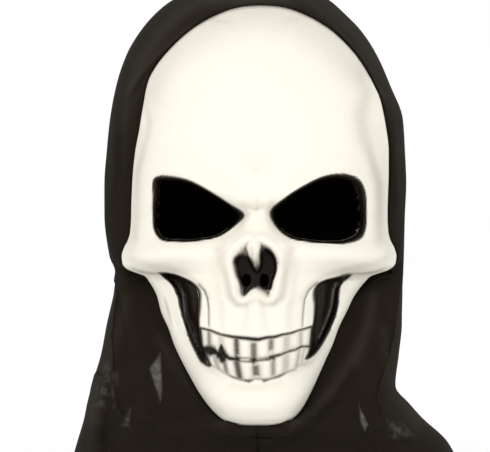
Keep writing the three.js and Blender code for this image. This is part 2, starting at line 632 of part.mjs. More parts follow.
function geometryOf(manifold) {
  const { vertProperties, triVerts } = manifold.getMesh();
  const geometry = new THREE.BufferGeometry();
  geometry.setAttribute('position', new THREE.BufferAttribute(vertProperties, 3));
  geometry.setIndex(new THREE.BufferAttribute(triVerts, 1));
  return geometry;
}

function meshOf(manifold, name, material) {
  const mesh = new THREE.Mesh(geometryOf(manifold), material);
  mesh.name = name;
  return mesh;
}

const faceGrid = [...Array(MASK_ROWS + 1).keys()].map((j) =>
  [...Array(MASK_COLUMNS + 1).keys()].map((i) => facePoint(2 * i / MASK_COLUMNS - 1, j / MASK_ROWS)));

const group = new THREE.Group();
group.add(meshOf(makeMask(faceGrid), 'mask_shell', MASK_IVORY));
group.add(meshOf(makeHood(faceGrid), 'hood', HOOD_BLACK));

export default group;
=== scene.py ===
import math

import bmesh
import bpy
import numpy as np
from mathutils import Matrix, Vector


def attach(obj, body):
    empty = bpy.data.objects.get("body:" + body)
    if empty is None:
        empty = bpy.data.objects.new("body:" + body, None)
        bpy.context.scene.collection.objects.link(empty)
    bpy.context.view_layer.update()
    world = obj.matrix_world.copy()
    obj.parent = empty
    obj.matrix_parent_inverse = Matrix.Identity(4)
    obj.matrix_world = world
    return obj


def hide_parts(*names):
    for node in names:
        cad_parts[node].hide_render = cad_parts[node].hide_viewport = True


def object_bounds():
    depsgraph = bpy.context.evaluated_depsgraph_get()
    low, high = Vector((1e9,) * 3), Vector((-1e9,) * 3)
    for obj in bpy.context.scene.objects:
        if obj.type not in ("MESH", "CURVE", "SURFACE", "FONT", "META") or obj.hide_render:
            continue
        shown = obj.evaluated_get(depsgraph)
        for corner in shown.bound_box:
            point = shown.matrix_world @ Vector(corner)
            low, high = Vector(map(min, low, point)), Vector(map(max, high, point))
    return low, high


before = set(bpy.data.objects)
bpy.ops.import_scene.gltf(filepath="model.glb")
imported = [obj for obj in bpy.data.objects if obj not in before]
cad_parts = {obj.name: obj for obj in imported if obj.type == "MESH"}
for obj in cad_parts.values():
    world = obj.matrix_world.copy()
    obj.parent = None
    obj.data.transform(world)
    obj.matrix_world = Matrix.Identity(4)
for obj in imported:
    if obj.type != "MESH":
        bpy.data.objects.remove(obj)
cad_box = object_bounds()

# The view: a long lens level with the sockets and a touch to one side, in a white studio with large soft
# lights in front and one small one for the glints.
EYE_LEVEL = -0.1445
AIM = Vector((-0.0069, -0.085, EYE_LEVEL))
VIEW_TURN = math.radians(1.2)
VIEW_DISTANCE = 1.3
VIEW_WIDTH = 0.272
SENSOR = 36.0

camera = bpy.data.objects.new("camera", bpy.data.cameras.new("camera"))
bpy.context.scene.collection.objects.link(camera)
camera.location = AIM + VIEW_DISTANCE * Vector((math.sin(VIEW_TURN), -math.cos(VIEW_TURN), 0.0))
camera.rotation_euler = (math.pi / 2, 0.0, VIEW_TURN)
camera.data.sensor_width = SENSOR
camera.data.lens = SENSOR * VIEW_DISTANCE / VIEW_WIDTH
camera.data.clip_end = 40.0
bpy.context.scene.camera = camera


def soft_light(name, place, size, power, colour):
    lamp = bpy.data.lights.new(name, "AREA")
    lamp.shape = "RECTANGLE"
    lamp.size, lamp.size_y = size
    lamp.energy = power
    lamp.color = colour
    light = bpy.data.objects.new(name, lamp)
    light.location = place
    light.rotation_euler = (AIM - light.location).to_track_quat("-Z", "Y").to_euler()
    bpy.context.scene.collection.objects.link(light)


soft_light("key_light", Vector((-0.55, -1.5, 0.30)), (1.1, 0.9), 5.5, (1.0, 0.99, 0.965))
soft_light("fill_light", Vector((1.0, -1.4, 0.0)), (1.0, 1.0), 1.5, (1.0, 0.99, 0.98))
soft_light("glint_light", Vector((0.45, -1.25, 0.25)), (0.10, 0.16), 1.0, (1.0, 1.0, 1.0))

world = bpy.data.worlds.new("studio")
world.use_nodes = True
world.node_tree.nodes["Background"].inputs["Color"].default_value = (1.0, 1.0, 1.0, 1.0)
world.node_tree.nodes["Background"].inputs["Strength"].default_value = 1.0
bpy.context.scene.world = world
bpy.context.scene.view_settings.view_transform = "Standard"

# The floor: a plain white round sheet, so wide that its edge fades into the white behind it.
FLOOR_DROP = 0.004
FLOOR_RADIUS = 14.0

bm = bmesh.new()
bmesh.ops.create_circle(bm, cap_ends=True, segments=96, radius=FLOOR_RADIUS)
bmesh.ops.translate(bm, vec=(0, 0, cad_box[0][2] - FLOOR_DROP), verts=bm.verts)
floor = bpy.data.objects.new("floor", bpy.data.meshes.new("floor"))
bm.to_mesh(floor.data)
bm.free()
bpy.context.scene.collection.objects.link(floor)
white_floor = bpy.data.materials.new("white_floor")
white_floor.use_nodes = True
floor_surface = white_floor.node_tree.nodes["Principled BSDF"]
floor_surface.inputs["Base Color"].default_value = (0.995, 0.995, 0.995, 1.0)
floor_surface.inputs["Roughness"].default_value = 0.95
floor.data.materials.append(white_floor)


# The speckle of a spray gun: a mask whose soft edges break up into fine grain, and that covers more at the
# same amount the higher its cover is. The ivory face and the bare back of the shell both use it.
def spray_group():
    group = bpy.data.node_groups.new("spray_edge", "ShaderNodeTree")
    group.interface.new_socket("Amount", in_out="INPUT", socket_type="NodeSocketFloat")
    group.interface.new_socket("Grain", in_out="INPUT", socket_type="NodeSocketFloat")
    group.interface.new_socket("Breakup", in_out="INPUT", socket_type="NodeSocketFloat")
    group.interface.new_socket("Cover", in_out="INPUT", socket_type="NodeSocketFloat")
    group.interface.new_socket("Mask", in_out="OUTPUT", socket_type="NodeSocketFloat")
    nodes, links = group.nodes, group.links
    enter, leave = nodes.new("NodeGroupInput"), nodes.new("NodeGroupOutput")
    place = nodes.new("ShaderNodeTexCoord")
    grain = nodes.new("ShaderNodeTexNoise")
    grain.inputs["Detail"].default_value = 2.0
    links.new(place.outputs["Object"], grain.inputs["Vector"])
    links.new(enter.outputs["Grain"], grain.inputs["Scale"])

    def maths(operation, first, second, clamp=False):
        node = nodes.new("ShaderNodeMath")
        node.operation, node.use_clamp = operation, clamp
        for socket, value in zip(node.inputs, (first, second)):
            if isinstance(value, float):
                socket.default_value = value
            else:
                links.new(value, socket)
        return node.outputs[0]

    amount = enter.outputs["Amount"]
    edge_only = maths("MULTIPLY", maths("MULTIPLY", amount, maths("SUBTRACT", 1.0, amount)), 4.0)
    spread_by = maths("MULTIPLY", maths("SUBTRACT", grain.outputs["Fac"], 0.5), enter.outputs["Breakup"])
    sprayed = maths("ADD", amount, maths("MULTIPLY", edge_only, spread_by), clamp=True)
    missed = maths("POWER", maths("SUBTRACT", 1.0, sprayed), enter.outputs["Cover"])
    links.new(maths("SUBTRACT", 1.0, missed), leave.inputs["Mask"])
    return group


spray_edge = spray_group()

# The mask: one thin shell of ivory plastic, vacuum-formed over a carved skull, trimmed at its rim, with
# the sockets and nostrils cut out. Its hollows and the lines of the teeth are sprayed black by hand.
MM = 0.001
MASK_HEIGHT = 235.5
MASK_WIDTH = 159.0
FACE_DEPTH = 105.0
DOME_RISE = 41.8               # the forehead's round top above the sides of the brow
CROWN_RISE = 19.0              # the seat on the crown, at z = 0, above the mask's top
CHIN_Z = -(CROWN_RISE + MASK_HEIGHT)
SIGHT_HEIGHT = 110.0           # the sight line above the chin; places on the face count up from it
SIGHT_Z = CHIN_Z + SIGHT_HEIGHT
SHELL_WALL = 1.2
MASK_COLUMNS = 212
MASK_ROWS = 229
EVEN_PART = 0.25               # columns are spaced by this share evenly, otherwise closer near the rim
FINE_STEPS = 2000              # steps in which lengths are added up


def table(heads, rows):
    """Rows of numbers as a dict of named columns."""
    return dict(zip(heads.split(), np.array(rows, float).T))


# Half outline of the mask up to the dome, as shares of its height, half its width and the face's depth.
SIDE_ROWS = table("height width rim", [
    (0.000, 0.178, 0.780), (0.005, 0.224, 0.745), (0.015, 0.270, 0.695), (0.032, 0.322, 0.640),
    (0.069, 0.397, 0.590),
    (0.106, 0.457, 0.552), (0.144, 0.514, 0.524), (0.182, 0.568, 0.495), (0.220, 0.610, 0.467),
    (0.258, 0.665, 0.438), (0.297, 0.711, 0.400), (0.335, 0.791, 0.324), (0.344, 0.818, 0.310),
    (0.349, 0.854, 0.300), (0.354, 0.900, 0.290), (0.359, 0.940, 0.282), (0.365, 0.970, 0.274),
    (0.374, 0.992, 0.267), (0.393, 1.000, 0.257), (0.413, 0.985, 0.257), (0.433, 0.955, 0.262),
    (0.452, 0.940, 0.267), (0.493, 0.932, 0.276), (0.569, 0.931, 0.286), (0.650, 0.920, 0.305),
    (0.707, 0.894, 0.324), (0.746, 0.873, 0.343), (0.784, 0.847, 0.362), (0.823, 0.805, 0.381)])

# How far the worn mask leans to one side, in mm, by the height in mm.
LEAN_ROWS = table("height aside", [
    (0, 0.0), (19, -1.9), (40, -2.8), (57, -2.8), (75, -1.2), (90, 0.0), (119, 0.3), (143, 1.2),
    (166, 2.3), (180, 2.1), (197, 0.6), (217, 1.2), (236, 1.4)])

# The forehead's round top, as shares of the shoulder's half width and of the dome's rise.
DOME_ROWS = table("across rise", [
    (0.00, 1.000), (0.12, 0.990), (0.25, 0.954), (0.42, 0.854), (0.55, 0.746), (0.65, 0.640),
    (0.73, 0.534), (0.80, 0.427), (0.87, 0.306), (0.92, 0.206), (0.96, 0.110), (1.00, 0.000)])

# Profile on the centre line, as shares of the height and the face's depth, and how flat it is across.
MIDDLE_ROWS = table("height depth square", [
    (0.000, 0.880, 2.6), (0.017, 0.935, 2.5), (0.050, 0.975, 2.4), (0.106, 0.960, 2.2),
    (0.153, 0.990, 2.0), (0.204, 0.995, 2.0), (0.255, 0.978, 2.0), (0.297, 0.985, 2.0),
    (0.425, 0.990, 2.3), (0.442, 0.975, 2.4), (0.480, 0.935, 2.6), (0.505, 0.912, 2.6),
    (0.527, 0.948, 2.6), (0.552, 0.968, 2.6), (0.586, 0.957, 2.5), (0.658, 0.924, 2.4),
    (0.764, 0.867, 2.2), (0.870, 0.762, 2.1), (0.943, 0.648, 2.1), (0.981, 0.571, 2.1),
    (1.000, 0.505, 2.1)])

# Broad swellings and hollows of both sides, as shares of half the width, the height and the depth.
SWELLS = table("across height wide tall turn rise", [
    (0.34, 0.562, 0.330, 0.027, 28, 0.055), (0.72, 0.605, 0.260, 0.030, 0, 0.040),
    (0.36, 0.478, 0.260, 0.050, 0, -0.045), (0.66, 0.396, 0.420, 0.026, -4, 0.060),
    (0.55, 0.280, 0.150, 0.090, -12, -0.070), (0.86, 0.720, 0.110, 0.120, 0, -0.035),
    (0.20, 0.345, 0.075, 0.070, 0, 0.022), (0.00, 0.063, 0.200, 0.032, 0, 0.020)])


def along(rows, at, key, t):
    """A smooth value between the rows of a table, without overshoot."""
    places, values = rows[at], rows[key]
    slopes = np.diff(values) / np.diff(places)
    before, after = slopes[:-1], slopes[1:]
    same = before * after > 0
    bends = np.concatenate(([slopes[0]],
                            np.where(same, 2 * before * after / np.where(same, before + after, 1.0), 0.0),
                            [slopes[-1]]))
    k = np.clip(np.searchsorted(places, t) - 1, 0, len(places) - 2)
    run = places[k + 1] - places[k]
    s = np.clip((t - places[k]) / run, 0, 1)
    keep = 1 + s * s * (2 * s - 3)
    lead = s * (1 - s) ** 2
    trail = s * s * (s - 1)
    return keep * values[k] + (1 - keep) * values[k + 1] + run * (lead * bends[k] + trail * bends[k + 1])


def bell(t):
    return np.exp(-t * t)


def ease(start, end, t):
    s = np.clip((t - start) / (end - start), 0, 1)
    return s * s * (3 - 2 * s)


def mix(a, b, t):
    return a + (b - a) * t


def swell(x, height):
    rise = np.zeros_like(x)
    for across, up, wide, tall, turn, by in zip(*SWELLS.values()):
        turn = math.radians(turn)
        dx = np.abs(x) - across * MASK_WIDTH / 2
        dz = height - up * MASK_HEIGHT
        lengthwise = (dx * math.cos(turn) + dz * math.sin(turn)) / (wide * MASK_WIDTH / 2)
        sideways = (dz * math.cos(turn) - dx * math.sin(turn)) / (tall * MASK_HEIGHT)
        rise += by * bell(np.hypot(lengthwise, sideways))
    return rise


def face_form(u, v):
    """The face at u across from -1 to 1 and v up from 0 to 1: x, depth and height in mm, and a share that
    is 1 in front and 0 at the rim."""
    shoulder = MASK_HEIGHT - DOME_RISE
    side = v * SIDE_ROWS["height"][-1]
    across = mix(np.sin(u * math.pi / 2), u, EVEN_PART)
    x = across * along(SIDE_ROWS, "height", "width", side) * MASK_WIDTH / 2
    height = v * shoulder + DOME_RISE * along(DOME_ROWS, "across", "rise", np.abs(across)) * v ** 3
    middle = (v * shoulder + DOME_RISE * v ** 3) / MASK_HEIGHT
    square = along(MIDDLE_ROWS, "height", "square", middle)
    share = np.sqrt(np.clip(1 - np.abs(across) ** square, 0, 1))
    rim = along(SIDE_ROWS, "height", "rim", side)
    front = along(MIDDLE_ROWS, "height", "depth", middle)
    full = np.minimum(1, 4 * share * share)
    depth = (mix(rim, front, share) + swell(x, height) * full) * FACE_DEPTH
    return x + along(LEAN_ROWS, "height", "aside", height), depth, height, full


def spread(stations, cells, count):
    """count + 1 places from the first station to the last, as close as the cell sizes there ask."""
    fine = np.linspace(stations[0], stations[-1], FINE_STEPS)
    steps = 1 / np.interp(fine, stations, cells)
    used = np.concatenate(([0], np.cumsum((steps[1:] + steps[:-1]) / 2)))
    return np.interp(np.linspace(0, used[-1], count + 1), used, fine)


def rounded(points, per_span=8):
    """A closed smooth curve through an outline's points. Columns after the first two come along."""
    p = np.array(points, float)
    p0, p1, p2, p3 = (np.roll(p, k, axis=0) for k in (1, 0, -1, -2))
    t01, t12, t23 = (np.sqrt(np.linalg.norm((b - a)[:, :2], axis=1))[:, None]
                     for a, b in ((p0, p1), (p1, p2), (p2, p3)))
    m1 = (p2 - p1) + t12 * ((p1 - p0) / t01 - (p2 - p0) / (t01 + t12))
    m2 = (p2 - p1) + t12 * ((p3 - p2) / t23 - (p3 - p1) / (t12 + t23))
    s = np.linspace(0, 1, per_span, endpoint=False)[:, None, None]
    curve = ((2 * s ** 3 - 3 * s ** 2 + 1) * p1 + (s ** 3 - 2 * s ** 2 + s) * m1
             + (3 * s ** 2 - 2 * s ** 3) * p2 + (s ** 3 - s ** 2) * m2)
    return curve.transpose(1, 0, 2).reshape(-1, p.shape[1])


def nearest(line, x, z, closed=False):
    """Distance of points from a line and the line's columns at its nearest point. From a closed one the
    distance is more than 0 inside and less outside."""
    ends = np.roll(line, -1, axis=0) if closed else line[1:]
    best = np.full(x.shape, np.inf)
    piece, part = np.zeros(x.shape, int), np.zeros(x.shape)
    inside = np.zeros(x.shape, bool)
    for k, (a, b) in enumerate(zip(line, ends)):
        dx, dz = b[0] - a[0], b[1] - a[1]
        t = np.clip(((x - a[0]) * dx + (z - a[1]) * dz) / max(dx * dx + dz * dz, 1e-9), 0, 1)
        gap = np.hypot(x - a[0] - t * dx, z - a[1] - t * dz)
        closer = gap < best
        best, part = np.where(closer, gap, best), np.where(closer, t, part)
        piece[closer] = k
        if closed and dz:
            inside ^= ((a[1] > z) != (b[1] > z)) & (x < a[0] + (z - a[1]) / dz * dx)
    near = mix(line[piece], ends[piece], part[..., None])
    return (np.where(inside, best, -best) if closed else best), near


def stroke(line, x, z):
    """A soft stroke through rows of (across, up, half breadth, strength)."""
    gap, near = nearest(np.array(line, float), x, z)
    return near[..., 3] * bell(gap / near[..., 2])


# Cell sizes of the skin, in mm: rows by height above the chin, columns by the share across.
ROW_CELLS = table("height cell", [
    (0, 1.4), (18, 1.2), (24, 0.58), (60, 0.58), (66, 0.8), (104, 0.8), (142, 0.85), (160, 1.7),
    (236, 2.4)])
COLUMN_CELLS = table("u cell", [
    (-1, 1.2), (-0.7, 1.0), (-0.5, 0.8), (-0.25, 0.65), (0.25, 0.65), (0.5, 0.8), (0.7, 1.0), (1, 1.2)])


def grid_mesh(name, columns, rows):
    """A mesh of columns by rows cells, and the column and row that each of its points lies on."""
    bm = bmesh.new()
    bmesh.ops.create_grid(bm, x_segments=columns, y_segments=rows, size=1.0)
    mesh = bpy.data.meshes.new(name)
    bm.to_mesh(mesh)
    bm.free()
    flat = np.empty(len(mesh.vertices) * 3)
    mesh.vertices.foreach_get("co", flat)
    flat = flat.reshape(-1, 3)
    column = np.rint((flat[:, 0] + 1) / 2 * columns).astype(int)
    row = np.rint((flat[:, 1] + 1) / 2 * rows).astype(int)
    return mesh, column, row


def note_values(mesh, name, values):
    """Keeps one number a point on the mesh, for its material to read."""
    mesh.attributes.new(name, "FLOAT", "POINT").data.foreach_set("value", values)


row_heights = spread(ROW_CELLS["height"], ROW_CELLS["cell"], MASK_ROWS)
v_fine = np.linspace(0, 1, FINE_STEPS)
row_v = np.interp(row_heights / row_heights[-1] * MASK_HEIGHT,
                  v_fine * (MASK_HEIGHT - DOME_RISE) + DOME_RISE * v_fine ** 3, v_fine)
column_u = spread(COLUMN_CELLS["u"], COLUMN_CELLS["cell"], MASK_COLUMNS)

mask_mesh, column, row = grid_mesh("skull_mask", MASK_COLUMNS, MASK_ROWS)
x, depth, height, full = face_form(column_u[column], row_v[row])
z = height - SIGHT_HEIGHT

# Carved relief on the broad form: (across, up) points of a line up from the sight line, its half breadth
# and its rise, in mm.
RELIEF = [
    ([(-8.0, 2.0), (0.0, -3.0), (8.0, 2.0)], 5.0, -1.0),
    ([(-3.5, 9.0), (0.0, 6.5), (3.5, 9.0)], 1.6, -0.7),
    ([(-20.0, -12.0), (-17.0, -20.0), (-16.2, -30.0), (-15.2, -39.0), (-10.0, -44.0), (-3.5, -42.5)],
     2.4, -1.7),
    ([(18.0, -12.0), (16.6, -20.0), (15.4, -30.0), (14.2, -39.0), (9.5, -43.5), (3.0, -42.5)],
     2.4, -1.7),
    ([(-1.0, -38.0), (-1.0, -60.0)], 3.2, 0.9),
    ([(-32.5, -33.0), (-28.8, -36.0), (-27.0, -41.0), (-26.6, -56.0)], 0.9, -0.9),
    ([(32.5, -32.0), (28.2, -36.0), (25.8, -41.0), (25.0, -56.0)], 0.9, -0.9),
    ([(-10.0, -46.0), (-9.0, -60.0)], 2.2, -0.5),
    ([(9.0, -46.0), (8.0, -60.0)], 2.2, -0.5),
    ([(18.5, -44.0), (18.3, -58.0)], 2.2, -0.6),
    ([(-19.5, -44.0), (-19.5, -58.0)], 2.2, -0.6),
    ([(-20.0, -89.0), (0.0, -92.0), (20.0, -89.0)], 4.5, -0.9),
    ([(-72.0, -29.4), (-58.0, -30.6), (-48.0, -30.4)], 2.6, -2.6),
    ([(72.0, -29.4), (60.0, -30.6), (49.0, -30.8)], 2.6, -2.6),
    ([(-63.0, 68.0), (-61.5, 57.0), (-63.5, 46.0), (-67.5, 32.0)], 3.4, -1.8),
    ([(60.0, 86.0), (62.0, 74.0), (58.0, 62.0), (60.5, 48.0), (65.0, 37.0), (68.0, 22.0)], 6.5, -2.1),
    ([(-25.0, 116.6), (-21.0, 116.0), (-16.0, 115.2)], 1.5, -0.8),
    ([(16.0, 116.0), (20.0, 117.0), (24.0, 118.0)], 1.5, -0.7),
    ([(-6.0, 36.0), (0.5, 29.0), (7.0, 36.0)], 6.0, -0.6),
]
for line, breadth, rise in RELIEF:
    depth += rise * bell(nearest(np.array(line, float), x, z)[0] / breadth) * full

# The aperture of the nose: (across, up) points and how broad its wall looks there. The septum hangs down
# between its two lobes, and a raised ring runs round it.
NOSE = [
    (0.1, -24.3, 1.2), (-2.9, -18.9, 1.4), (-4.3, -13.1, 2), (-4.9, -8.2, 4.6), (-9.2, -11.5, 4.6),
    (-13.1, -18.1, 2.6), (-13.2, -24.1, 2.6), (-10.9, -30.4, 2.4), (-10, -36.1, 2.2),
    (-8.9, -39.6, 3.2), (-5.7, -38.6, 3), (-1.4, -35.1, 1.4), (2.5, -36.8, 3), (6.5, -39.6, 3.6),
    (7.8, -37, 2), (8.6, -31.7, 1), (10.8, -24.3, 0.9), (10.4, -18.1, 1), (7.5, -12.6, 2.2),
    (3.6, -9, 3.2), (1.6, -8.4, 3), (0.9, -12, 1.8), (1.1, -18.6, 1.6)
]
RING_RISE = 1.9                # the ring's rise, how far out from the edge it runs and its half breadth
RING_OUT = 2.6
RING_HALF = 2.1
nose_edge = rounded(NOSE)
nose_in = nearest(nose_edge, x, z, closed=True)[0]
depth += RING_RISE * bell((np.minimum(nose_in, 0) + RING_OUT) / RING_HALF)

# Teeth: for each row its top and foot lines, then the gaps between teeth: across at the top and the foot,
# how black and broad, and the shares of the way down where the black starts and stops.
UPPER_GUM = table("across up", [
    (-32, -56.2), (-26, -56.9), (-20.5, -58.5), (-15, -59.9), (-9.6, -60.7), (-4.1, -61.4),
    (-0.3, -61.6), (4.1, -61.2), (9.6, -60.4), (15, -59.3), (20.5, -58.5), (24.9, -57.4), (31, -56.0)])
BITE = table("across up", [
    (-32, -67.4), (-26.5, -68.4), (-19.4, -70.2), (-16.1, -71.9), (-11.2, -72.9), (-0.8, -73.2),
    (4.1, -72.9), (8.5, -71.8), (13.4, -70.3), (17.8, -68.6), (22.2, -67.5), (26, -66.7), (31, -67.2)])
LOWER_GUM = table("across up", [
    (-32, -72.0), (-26, -76.8), (-20.5, -79.9), (-16.1, -82.4), (-11.8, -84.0), (-5.7, -85.1),
    (-0.3, -83.9), (3, -84.5), (6.8, -84.2), (11.2, -83), (15.6, -81.7), (20, -79.3), (24.3, -76.7),
    (31, -72.5)])
UPPER_GAPS = table("top foot dark wide start stop", [
    (-31.6, -30.4, 1.00, 0.70, -1.00, 2.00), (-26.5, -26.2, 0.36, 1.00, 0.05, 0.90),
    (-19.8, -19.4, 0.08, 1.20, 0.00, 1.00), (-11.3, -10.8, 0.62, 1.25, 0.06, 0.80),
    (-1.8, -1.6, 0.50, 1.50, 0.22, 1.00), (7.8, 7.6, 0.42, 1.30, 0.10, 0.62),
    (16.4, 16.4, 0.10, 1.80, 0.00, 1.00), (24.1, 24.1, 0.16, 1.00, 0.00, 1.00),
    (30.4, 29.4, 1.00, 0.70, -1.00, 2.00)])
LOWER_GAPS = table("top foot dark wide start stop", [
    (-28.7, -26.4, 0.70, 1.00, 0.00, 0.80), (-24.3, -21.0, 0.22, 1.30, 0.00, 1.00),
    (-18.6, -16.4, 0.42, 1.10, 0.10, 0.90), (-11.3, -9.2, 0.62, 1.60, 0.00, 0.92),
    (-0.9, -0.2, 0.50, 1.90, 0.30, 0.80), (8.7, 9.0, 0.30, 1.10, 0.12, 0.85),
    (16.0, 15.9, 0.12, 1.80, 0.00, 1.00), (23.6, 21.6, 0.20, 0.90, 0.00, 1.00),
    (26.2, 24.3, 0.12, 1.20, 0.00, 1.00), (29.5, 28.0, 0.80, 0.90, -0.20, 0.90)])
TOOTH_RISE = 1.7
TOOTH_EDGE = (0.2, 2.3)        # the rise grows between these distances from a gap or a gum line
TOOTH_CORNER = 1.5             # how sharp a tooth's corners are
GROOVE = 0.8                   # depth and half breadth of the groove round a tooth
GAP_SHADE = 0.26               # shade beside a gap, and what the gap's black adds to it
BLACK_SHADE = 0.34
GUM_SHADE = 0.34               # shade along the gum lines and the bite


def tooth_row(top_line, foot_line, gaps):
    """Rise of a row of teeth, how black its gaps are and how they shade its teeth."""
    within_line = np.clip(x, top_line["across"][0], top_line["across"][-1])
    top = along(top_line, "across", "up", within_line)
    foot = along(foot_line, "across", "up", within_line)
    down = (top - z) / (top - foot)
    lines = [mix(a, b, np.clip(down, 0, 1)) for a, b in zip(gaps["top"], gaps["foot"])]
    sideways = np.min([np.abs(x - line) for line in lines], axis=0)
    within = (x > lines[0]) & (x < lines[-1])
    upright = np.minimum(top - z, z - foot)
    near = -np.log(np.exp(-TOOTH_CORNER * sideways) + np.exp(-TOOTH_CORNER * upright)) / TOOTH_CORNER
    rise = TOOTH_RISE * ease(*TOOTH_EDGE, near) * within
    groove = -GROOVE * bell(near / GROOVE) * within * (upright > -1.5 * GROOVE)
    row = ease(-1.0, 0.6, upright) * ((x > lines[0] - 1) & (x < lines[-1] + 1))
    black, shade = np.zeros_like(x), np.zeros_like(x)
    kinds = zip(*(gaps[key] for key in ("dark", "wide", "start", "stop")))
    for line, (dark, wide, start, stop) in zip(lines, kinds):
        reach = ease(start - 0.1, start + 0.08, down) * ease(stop + 0.1, stop - 0.08, down)
        black = np.maximum(black, dark * reach * bell((x - line) / wide))
        strength = GAP_SHADE + BLACK_SHADE * dark
        shade = np.maximum(shade, strength * bell((x - line) / (1.4 + wide)))
    shade = np.maximum(shade, GUM_SHADE * bell(upright / 1.3) * within)
    return rise + groove, black * row, shade * row


upper_rise, upper_black, upper_shade = tooth_row(UPPER_GUM, BITE, UPPER_GAPS)
lower_rise, lower_black, lower_shade = tooth_row(BITE, LOWER_GUM, LOWER_GAPS)
depth += np.maximum(upper_rise, lower_rise)
paint = np.maximum(upper_black, lower_black)
shade = np.maximum(upper_shade, lower_shade)

# Hollows: past their edge the skin rounds over a lip and goes back as a wall. A hollow with a floor
# narrows towards its middle, and a hole ends where its wall does. Each point of an outline has its place,
# how broad the wall looks from the front and how far the spray's soft edge goes past it.
SOCKETS = {
    "left": [
        (-58.6, 23.2, 4.2, 0.8), (-57.8, 26.2, 3.6, 0.9), (-55, 27.5, 2.8, 0.9), (-46.7, 27.1, 2, 0.7),
        (-37.3, 24.9, 1.5, 0.5), (-26.4, 19.1, 1.1, 0.7), (-15.3, 11.9, 1.2, 0.8), (-7.7, 6, 3.2, 1.4),
        (-11.3, 1.4, 1.4, 1), (-20.7, -5.5, 0.8, 0.5), (-31.8, -8, 0.8, 0.4), (-42.9, -8.6, 0.8, 0.4),
        (-53.4, -7.5, 1.1, 0.5), (-57.7, -2.2, 1.4, 0.7), (-58.7, 7.7, 2.4, 0.7),
        (-58.5, 16.6, 3.8, 0.7)
    ],
    "right": [
        (7.8, 7.5, 1.6, 1.5), (15.2, 14.9, 1.2, 0.9), (26.3, 22.2, 1.2, 0.7), (37.3, 27.3, 1.7, 0.6),
        (47.8, 28.5, 2.6, 0.6), (56, 26, 3.8, 0.7), (59.6, 20.1, 4.2, 0.8), (60.6, 10, 3.8, 0.7),
        (60.3, -0.6, 3.4, 0.8), (57.5, -6.3, 3, 1.2), (49.5, -9.3, 1.6, 0.8), (40.1, -9.6, 0.9, 0.4),
        (29, -8.7, 0.8, 0.4), (18, -6.3, 0.8, 0.6), (11.1, -0.6, 1, 1)
    ],
}
CHEEKS = {
    "left": [
        (-55, -26.4, 1.2, 0.8), (-47.5, -26.6, 1.2, 0.6), (-40.8, -28.8, 1.2, 0.7),
        (-35.2, -31.9, 1.2, 1), (-32.3, -36.1, 1.2, 1.9), (-32.2, -43.8, 1.2, 2.2),
        (-32.4, -52, 1.2, 1.3), (-31.6, -58.5, 1.2, 0.7), (-30.7, -64.3, 1.2, 0.7),
        (-28.9, -68.4, 1.2, 0.8), (-28, -71.9, 1.2, 1), (-26, -76.9, 1.2, 1.6),
        (-30.6, -74.9, 1.2, 1.6), (-34, -69.8, 1.2, 1), (-37.5, -63.2, 1.2, 0.7),
        (-40.8, -54.9, 1.2, 0.6), (-43, -47.7, 1.2, 0.6), (-44.7, -40, 1.2, 0.7),
        (-48, -33.3, 1.2, 0.7)
    ],
    "right": [
        (51.7, -27.5, 1.2, 1.5), (43, -28.8, 1.2, 0.9), (37.5, -30, 1.2, 0.7), (33.6, -32.2, 1.2, 1),
        (31.9, -36.1, 1.2, 2), (32.1, -44, 1.2, 1.6), (31.3, -52, 1.2, 0.9), (30.1, -58.5, 1.2, 0.7),
        (29.5, -65.6, 1.2, 0.7), (28.5, -69.8, 1.2, 0.9), (27, -73.3, 1.2, 1.2),
        (29.9, -72.5, 1.2, 1.2), (34.1, -68.3, 1.2, 1.1), (37.5, -63.3, 1.2, 0.8),
        (40.8, -57.7, 1.2, 0.6), (43.6, -51, 1.2, 0.6), (45.2, -43.8, 1.2, 0.6),
        (45.4, -38.3, 1.2, 0.7), (46.5, -32.8, 1.2, 0.9)
    ],
}
SOCKET_DEPTH = 9.0
CHEEK_DEPTH = 9.5
NOSE_DEPTH = 11.5
SOCKET_BAND = 3.0              # how broad a band of skin at least turns back as the wall
WALL_BAND = 2.4
LIP_SHARE = 0.3                # share of that band in the rounded lip, and how far the lip turns
LIP_TURN = math.radians(80)
LIP_PART = 0.45                # the lip's radius as a share of the wall's breadth, and its limits
LIP_LIMITS = (0.5, 2.2)
EDGE_SINK = 0.35               # the skin sinks this far towards a hollow's edge
TRIM_BELOW = -2.0              # below this height the trimmed edge of a socket turns out and shows bare
TRIM_OUT = 0.55


def hollow(x, z, depth, edge, deep, band, floor):
    """Moves the points inside an outline to its wall and floor. Returns their new places, how far inside
    they were, how far down the wall, and the outline's columns."""
    inside, near = nearest(edge, x, z, closed=True)
    reach = np.clip(near[:, 2], 0.6, None)
    wide = np.maximum(band, reach)
    at = np.clip(inside, 0, None if floor else wide)
    s = np.clip(at / wide, 0, 1)
    lip = np.clip(LIP_PART * reach, *LIP_LIMITS)
    turn = np.clip(s / LIP_SHARE, 0, 1) * LIP_TURN
    wall = np.clip((s - LIP_SHARE) / (1 - LIP_SHARE), 0, 1)
    out = lip * np.sin(turn) + wall * (reach - lip)
    back = lip * (1 - np.cos(turn)) + wall * (deep - lip)
    if floor:
        out = np.where(at > wide, at - (wide - reach) * ease(wide + 2.6, wide, at), out)
    else:
        out += TRIM_OUT * ease(0.75, 1.0, s) * (near[:, 1] < TRIM_BELOW)
    scale = out / np.maximum(inside, 1e-6)
    moved = inside > 0
    x = np.where(moved, near[:, 0] + (x - near[:, 0]) * scale, x)
    z = np.where(moved, near[:, 1] + (z - near[:, 1]) * scale, z)
    depth = depth - np.where(moved, back, 0) - EDGE_SINK * bell(inside / 1.5) * ~moved
    return x, z, depth, inside, s, near


